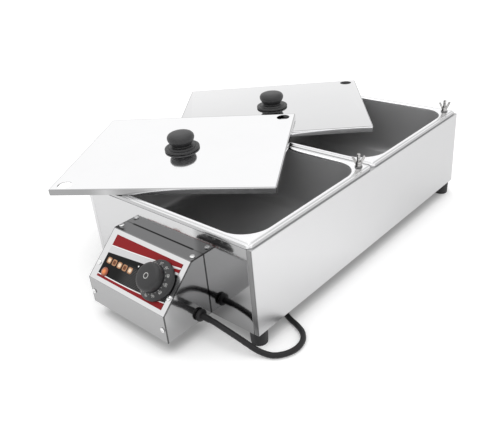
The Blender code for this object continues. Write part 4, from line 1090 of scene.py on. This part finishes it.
def bar_mesh(size):
    bm = bmesh.new()
    bmesh.ops.create_cube(bm, size=1.0)
    bmesh.ops.scale(bm, vec=size, verts=bm.verts[:])
    bmesh.ops.subdivide_edges(bm, edges=bm.edges[:], cuts=1)
    return mesh_of(bm, "bar")


def joined(meshes, name):
    bm = bmesh.new()
    for mesh in meshes:
        bm.from_mesh(mesh)
        bpy.data.meshes.remove(mesh)
    return mesh_of(bm, name)


def ring_mesh(name, radius, half, height):
    """A flat ring of shallow section, with its top at a height."""
    inner, outer = radius - half, radius + half
    corners = ((inner, 0), (outer, 0), (outer, -half / 2), (inner, -half / 2))
    bm = bmesh.new()
    rings = []
    for a in circle(36):
        points = [(r * math.cos(a), r * math.sin(a), height + z) for r, z in corners]
        rings.append([bm.verts.new(point) for point in points])
    for here, after in zip(rings, rings[1:] + rings[:1]):
        for k in range(4):
            bm.faces.new((here[k], here[(k + 1) % 4], after[(k + 1) % 4], after[k]))
    bmesh.ops.recalc_face_normals(bm, faces=bm.faces[:])
    return mesh_of(bm, name)


class MELTER_OT_dial(bpy.types.Operator):
    """Dial with its numbers, ticks and centre ring"""

    bl_idname = "melter.dial"
    bl_label = "Dial"

    def execute(self, context):
        sizes = context.scene.melter_print
        black = moulded("dial_plastic", (0.016, 0.016, 0.017), 0.42, 1200.0)
        ink = moulded("dial_ink", (0.42, 0.42, 0.41), 0.5, 1500.0, 0.00001)
        matrix = face_matrix() @ Matrix.Translation((*DIAL_PLACE, 0))
        refined("dial_skirt", black, edge=0.0003, origin=matrix)
        refined("dial_knob", black, angle=30.0, origin=matrix)
        marks = []
        start = 150.0
        step = 270.0 / (sizes.numbers - 1)
        for i in range(sizes.numbers):
            angle = (start - step * i) * DEGREE
            number = number_mesh(str(i * 10), sizes.number_size)
            marks.append(on_cone(number, angle, NUMBER_UP))
            marks.append(on_cone(bar_mesh(TICK), angle, TICK_UP))
            if i < sizes.numbers - 1:
                half = angle - step / 2 * DEGREE
                marks.append(on_cone(bar_mesh(HALF_TICK), half, TICK_UP))
        scale = linked("dial_scale", joined(marks, "dial_scale"), matrix)
        settle(scale, ink, "dial_knob")
        ring_radius, ring_half, ring_proud = 0.0036, 0.0005, 0.0001
        ring = ring_mesh("dial_ring", ring_radius, ring_half, GRIP_TOP + ring_proud)
        settle(linked("dial_ring", ring, matrix), ink, "dial_knob")
        keep("dial_shaft", zinc_plate())
        return {"FINISHED"}


class MELTER_OT_lamp(bpy.types.Operator):
    """Amber lamp on the sloping face"""

    bl_idname = "melter.lamp"
    bl_label = "Lamp"

    def execute(self, context):
        matrix = face_matrix() @ Matrix.Translation((*LAMP_PLACE, 0))
        refined("lamp_lens", amber_glass("amber_lens"), angle=60.0, origin=matrix)
        return {"FINISHED"}


# Pieces inside the case


class MELTER_OT_inside(bpy.types.Operator):
    """Heaters, wiring and thermostat"""

    bl_idname = "melter.inside"
    bl_label = "Inside"

    def execute(self, context):
        tray = rolled_steel("tray_sheet", 0.55, 0.40, (20.0, 1.0, 1.0), 0.08, 0.12)
        heated = turned_metal("element_tube", (0.20, 0.18, 0.16), 0.45)
        copper = turned_metal("copper_tube", (0.80, 0.42, 0.26), 0.25)
        sleeve = moulded("silicone_sleeve", (0.30, 0.05, 0.03), 0.55, depth=0.00005)
        white = moulded("white_moulding", (0.62, 0.61, 0.57), 0.45)
        for name in ("front", "rear"):
            keep("heater_tray_" + name, tray)
            keep("heating_element_" + name, heated)
            keep("heater_lead_" + name, sleeve)
        keep("capillary", copper)
        for node in ("thermostat", "lamp_body", "terminal_block"):
            keep(node, white)
        return {"FINISHED"}


# Mains lead

# Along, back and the share of the drop, from the gland's end to the ground

CORD_FROM_GLAND = [
    (0.0140, 0.0001, 0.07),
    (0.0272, 0.0009, 0.16),
    (0.0392, 0.0033, 0.33),
    (0.0500, 0.0069, 0.56),
    (0.0600, 0.0110, 0.80),
    (0.0705, 0.0158, 0.96),
]

# Right of and behind the middle of the front right foot

CORD_ROUND_FOOT = [
    (0.0370, -0.0145),
    (0.0475, -0.0020),
    (0.0520, 0.0140),
    (0.0490, 0.0300),
    (0.0390, 0.0425),
    (0.0245, 0.0500),
    (0.0075, 0.0555),
    (-0.0080, 0.0635),
    (-0.0215, 0.0755),
    (-0.0325, 0.0915),
]

# Shares of the way across and back, from there to the coil

CORD_UNDER_SHARES = [
    (0.133, 0.083),
    (0.295, 0.222),
    (0.476, 0.376),
    (0.667, 0.543),
    (0.848, 0.715),
    (0.962, 0.856),
    (0.995, 0.945),
]
COIL_CENTRE = (-0.033, CASE_HIGH.y + 0.062)
COIL_TURNS_IN = 1.5
COIL_TURNS_CLIMB = 0.5
COIL_TURNS_OUT = 1.0
COIL_POINTS = 48
TIE_LIFT = 0.0015

# Radius and distance from the hole in the box's side

GLAND_PROFILE = [
    (0.0064, -0.0080),
    (0.0064, 0.0003),
    (0.0074, 0.0004),
    (0.0084, 0.0010),
    (0.0090, 0.0020),
    (0.0092, 0.0032),
    (0.0090, 0.0042),
    (0.0084, 0.0051),
    (0.0073, 0.0057),
    (0.0056, 0.0060),
    (0.0048, 0.0062),
    (0.0046, 0.0120),
    (0.0044, 0.0190),
    (0.0042, 0.0200),
]


def length_of(points):
    return sum((after - here).length for here, after in zip(points, points[1:]))


def smooth_through(points, spacing):
    """Points a spacing apart along a smooth curve through a route, never below its lowest."""
    route = [2 * points[0] - points[1]] + points + [2 * points[-1] - points[-2]]
    fine = []
    for a, b, c, d in zip(route, route[1:], route[2:], route[3:]):
        t1 = math.sqrt((b - a).length)
        t2 = t1 + math.sqrt((c - b).length)
        t3 = t2 + math.sqrt((d - c).length)
        steps = max(2, round((c - b).length / spacing * 6))
        for i in range(steps):
            t = t1 + (t2 - t1) * i / steps
            ab = a * ((t1 - t) / t1) + b * (t / t1)
            bc = b * ((t2 - t) / (t2 - t1)) + c * ((t - t1) / (t2 - t1))
            cd = c * ((t3 - t) / (t3 - t2)) + d * ((t - t2) / (t3 - t2))
            abc = ab * ((t2 - t) / t2) + bc * (t / t2)
            bcd = bc * ((t3 - t) / (t3 - t1)) + cd * ((t - t1) / (t3 - t1))
            fine.append(abc * ((t2 - t) / (t2 - t1)) + bcd * ((t - t1) / (t2 - t1)))
    fine.append(points[-1].copy())
    lowest = min(point.z for point in points)
    for point in fine:
        point.z = max(point.z, lowest)
    total = length_of(fine)
    count = max(2, round(total / spacing))
    wanted = [total * i / count for i in range(count + 1)]
    out = [fine[0]]
    walked = 0.0
    for p, q in zip(fine, fine[1:]):
        step = (q - p).length
        while len(out) < count and walked + step >= wanted[len(out)]:
            out.append(p.lerp(q, (wanted[len(out)] - walked) / step))
        walked += step
    return out + [fine[-1]]


def coil_line(lead):
    """The coil's turns with their straight ends."""
    low = FLOOR_Z + TIE_LIFT + lead.radius
    inward = COIL_TURNS_IN + COIL_TURNS_CLIMB / 2
    total = COIL_TURNS_IN + COIL_TURNS_CLIMB + COIL_TURNS_OUT
    steps = round(total * COIL_POINTS)
    points = []
    for i in range(steps + 1):
        turns = total * i / steps
        radius = lead.outer - lead.pitch * min(turns, inward)
        radius += lead.pitch * max(0.0, turns - inward)
        climbed = min(max((turns - COIL_TURNS_IN) / COIL_TURNS_CLIMB, 0.0), 1.0)
        z = low + lead.layer * (1 - math.cos(math.pi * climbed)) / 2
        angle = 2 * math.pi * turns
        x = COIL_CENTRE[0] + radius * math.cos(angle)
        y = COIL_CENTRE[1] + radius * math.sin(angle)
        points.append(Vector((x, y, z)))
    straight = Vector((0, 2 * lead.radius, 0))
    before = [points[0] - 2 * straight, points[0] - straight]
    after = [points[-1] + Vector((0, lead.tail * share, 0)) for share in (1 / 3, 2 / 3, 1)]
    return before + points + after


def lead_line(lead, gland_end):
    """The whole lead, from the gland to the plug."""
    floor = FLOOR_Z + lead.radius
    drop = floor - gland_end.z
    straight = gland_end + Vector((2 * lead.radius, 0, 0))
    route = [straight]
    for along, back, share in CORD_FROM_GLAND:
        route.append(straight + Vector((along, back, drop * share)))
    foot_low, foot_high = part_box("foot_front_right")
    foot = (foot_low + foot_high) / 2
    for right, back in CORD_ROUND_FOOT:
        route.append(Vector((foot.x + right, foot.y + back, floor)))
    coil = coil_line(lead)
    before = coil[0] - Vector((0, GAP + 2 * lead.radius, 0))
    turned_at = route[-1]
    for across, back in CORD_UNDER_SHARES:
        x = turned_at.x + (before.x - turned_at.x) * across
        y = turned_at.y + (before.y - turned_at.y) * back
        route.append(Vector((x, y, floor + (before.z - floor) * back)))
    route.append(before)
    return [gland_end] + smooth_through(route, 1.5 * lead.radius) + coil


class MELTER_OT_lead(bpy.types.Operator):
    """Mains lead, gland, tie and plug"""

    bl_idname = "melter.lead"
    bl_label = "Mains lead"

    def execute(self, context):
        lead = context.scene.melter_lead
        colour = (0.010, 0.0095, 0.0105)
        rubber = moulded("lead_rubber", colour, 0.38, 800.0, 0.00004, shine=0.30)
        black = moulded("tie_plastic", (0.03, 0.03, 0.03), 0.45)
        brass = turned_metal("pin_brass", (0.85, 0.68, 0.36), 0.22)
        low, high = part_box("cable_gland")
        gland_end = Vector((high.x + GAP, (low.y + high.y) / 2, (low.z + high.z) / 2))
        points = lead_line(lead, gland_end)
        curve = bpy.data.curves.new("mains_lead", "CURVE")
        curve.dimensions = "3D"
        curve.bevel_depth = lead.radius
        curve.bevel_resolution = 4
        curve.use_fill_caps = True
        spline = curve.splines.new("POLY")
        spline.points.add(len(points) - 1)
        for knot, point in zip(spline.points, points):
            knot.co = (*point, 1.0)
        spline.use_smooth = True
        piece = linked("mains_lead", curve)
        settle(piece, rubber, "mains_cord", ("mains_cord", "cord_coil"))
        mesh = turned(GLAND_PROFILE, 48, "cable_gland_form")
        smooth(mesh, 60.0)
        hole = Matrix.Translation(gland_end - Vector((GLAND_PROFILE[-1][1] + GAP, 0, 0)))
        gland = linked("cable_gland_form", mesh, hole @ Matrix.Rotation(math.pi / 2, 4, "Y"))
        settle(gland, rubber, "cable_gland", ("cable_gland",))
        refined("plug_body", rubber, edge=0.0008, angle=45.0)
        refined("coil_tie", black, edge=0.0002)
        keep("plug_pin_left", brass)
        keep("plug_pin_right", brass)
        length_of(points)
        return {"FINISHED"}


# Stage


class MELTER_OT_stage(bpy.types.Operator):
    """Pale floor, soft light, white background and the camera"""

    bl_idname = "melter.stage"
    bl_label = "Stage"

    def execute(self, context):
        sizes = context.scene.melter_stage
        self.floor(sizes)
        self.world(sizes)
        self.key_light(sizes)
        self.camera()
        context.scene.view_settings.view_transform = "Standard"
        return {"FINISHED"}

    def floor(self, sizes):
        """A floor that is white to the camera, still takes the shadow, and has a painted contact shadow near
        the case and the box.
        """
        half = sizes.floor_size / 2
        mesh = bpy.data.meshes.new("floor")
        corners = [(-half, -half, 0), (half, -half, 0), (half, half, 0), (-half, half, 0)]
        mesh.from_pydata(corners, [], [(0, 1, 2, 3)])
        plain = Finish("floor_white")
        # Painted shadow: the floor darkens close to the case and the box
        tone = 0.98 - sizes.floor_contact * self.close_by(plain, sizes.contact_width)
        plain.surface(Base_Color=plain.grey(tone), Roughness=0.9)
        paint = Socket(plain, plain.shader.outputs[0])
        white, faint = [
            plain.node("ShaderNodeEmission", {}, {"Color": (1, 1, 1, 1), "Strength": strength})
            for strength in (1.0, sizes.floor_lift)
        ]
        outputs = plain.tree.nodes.new("ShaderNodeLightPath").outputs
        kinds = ("Is Camera Ray", "Is Glossy Ray", "Is Transmission Ray")
        seen, mirrored, through = [Socket(plain, outputs[kind]) for kind in kinds]
        share = (mirrored + through).least(1.0) * sizes.floor_white
        for_rays = plain.node("ShaderNodeMixShader", {}, {0: share, 1: paint, 2: white})
        lifted = plain.node("ShaderNodeAddShader", {}, {0: paint, 1: faint})
        mixed = plain.node("ShaderNodeMixShader", {}, {0: seen, 1: for_rays, 2: lifted})
        output = plain.tree.nodes["Material Output"]
        plain.tree.links.new(mixed.socket, output.inputs["Surface"])
        mesh.materials.append(plain.material)
        below_feet = 0.0002
        floor = linked("floor", mesh, Matrix.Translation((0, 0, FLOOR_Z - below_feet)))

    def close_by(self, plain, width):
        """Mask of the painted contact shadow: 1 well under the case and the control box, fading to 0 at the
        width outside them.
        """
        point, x, y, z = plain.place()
        case = (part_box("side_panel_left")[0], CASE_HIGH)
        near = 0.0
        for low, high in (case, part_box("control_body")):
            middle, half = (low + high) / 2, (high - low) / 2
            out = []
            for along, centre, reach in ((x, middle.x, half.x), (y, middle.y, half.y)):
                off = (along - centre).most(centre - along)
                out.append(off.below(reach, width))
            near = (out[0] * out[1]).most(near)
        return near * near

    def world(self, sizes):
        """White from all round."""
        world = bpy.data.worlds.new("studio")
        bpy.context.scene.world = world
        world.use_nodes = True
        back = world.node_tree.nodes["Background"]
        back.inputs["Color"].default_value = (1, 1, 1, 1)
        back.inputs["Strength"].default_value = sizes.world_strength

    def key_light(self, sizes):
        """One large soft lamp overhead, a little to the left and towards the camera."""
        place, target = Vector((-0.1, -0.2, 2.6)), Vector((0.0, 0.0, 0.05))
        light = bpy.data.lights.new("key_light", "AREA")
        light.shape = "SQUARE"
        light.size = 3.2
        light.energy = sizes.key_power
        aim = (target - place).to_track_quat("-Z", "Y").to_matrix().to_4x4()
        linked("key_light", light, Matrix.Translation(place) @ aim)

    def camera(self):
        """The photograph's own view."""
        data = bpy.data.cameras.new("camera")
        data.sensor_fit = "HORIZONTAL"
        data.sensor_width = SENSOR_WIDTH
        data.lens = SENSOR_WIDTH * FOCAL_PIXELS / IMAGE_WIDTH
        data.clip_end = 50.0
        right = Vector(CAMERA_RIGHT).normalized()
        down = Vector(CAMERA_DOWN)
        down = (down - right * down.dot(right)).normalized()
        back = right.cross(-down)
        turned_to = Matrix((right, -down, back)).transposed().to_4x4()
        camera = linked("camera", data, Matrix.Translation(CAMERA_PLACE) @ turned_to)
        bpy.context.scene.camera = camera


# Panel and registration

STEPS = (
    MELTER_OT_stage,
    MELTER_OT_lead,
    MELTER_OT_case,
    MELTER_OT_feet,
    MELTER_OT_pans,
    MELTER_OT_clamps,
    MELTER_OT_lids,
    MELTER_OT_knobs,
    MELTER_OT_control_box,
    MELTER_OT_face,
    MELTER_OT_dial,
    MELTER_OT_lamp,
    MELTER_OT_inside,
)


class MELTER_PT_panel(bpy.types.Panel):
    """All steps of the melter's looks"""

    bl_idname = "MELTER_PT_panel"
    bl_label = "Chocolate melter"
    bl_space_type = "VIEW_3D"
    bl_region_type = "UI"
    bl_category = "Melter"

    def draw(self, context):
        for step in STEPS:
            self.layout.operator(step.bl_idname)
        for name in GROUPS:
            group = getattr(context.scene, name)
            for setting in group.__annotations__:
                self.layout.prop(group, setting)


GROUPS = {
    "melter_steel": MelterSteel,
    "melter_print": MelterPrint,
    "melter_lead": MelterLead,
    "melter_stage": MelterStage,
}


def register():
    for group in GROUPS.values():
        bpy.utils.register_class(group)
    for name, group in GROUPS.items():
        setattr(bpy.types.Scene, name, PointerProperty(type=group))
    for step in STEPS:
        bpy.utils.register_class(step)
    bpy.utils.register_class(MELTER_PT_panel)


def unregister():
    bpy.utils.unregister_class(MELTER_PT_panel)
    for step in reversed(STEPS):
        bpy.utils.unregister_class(step)
    for name, group in GROUPS.items():
        delattr(bpy.types.Scene, name)
        bpy.utils.unregister_class(group)


def main():
    register()
    for step in STEPS:
        space, name = step.bl_idname.split(".")
        getattr(getattr(bpy.ops, space), name)()


if __name__ == "__main__":
    main()
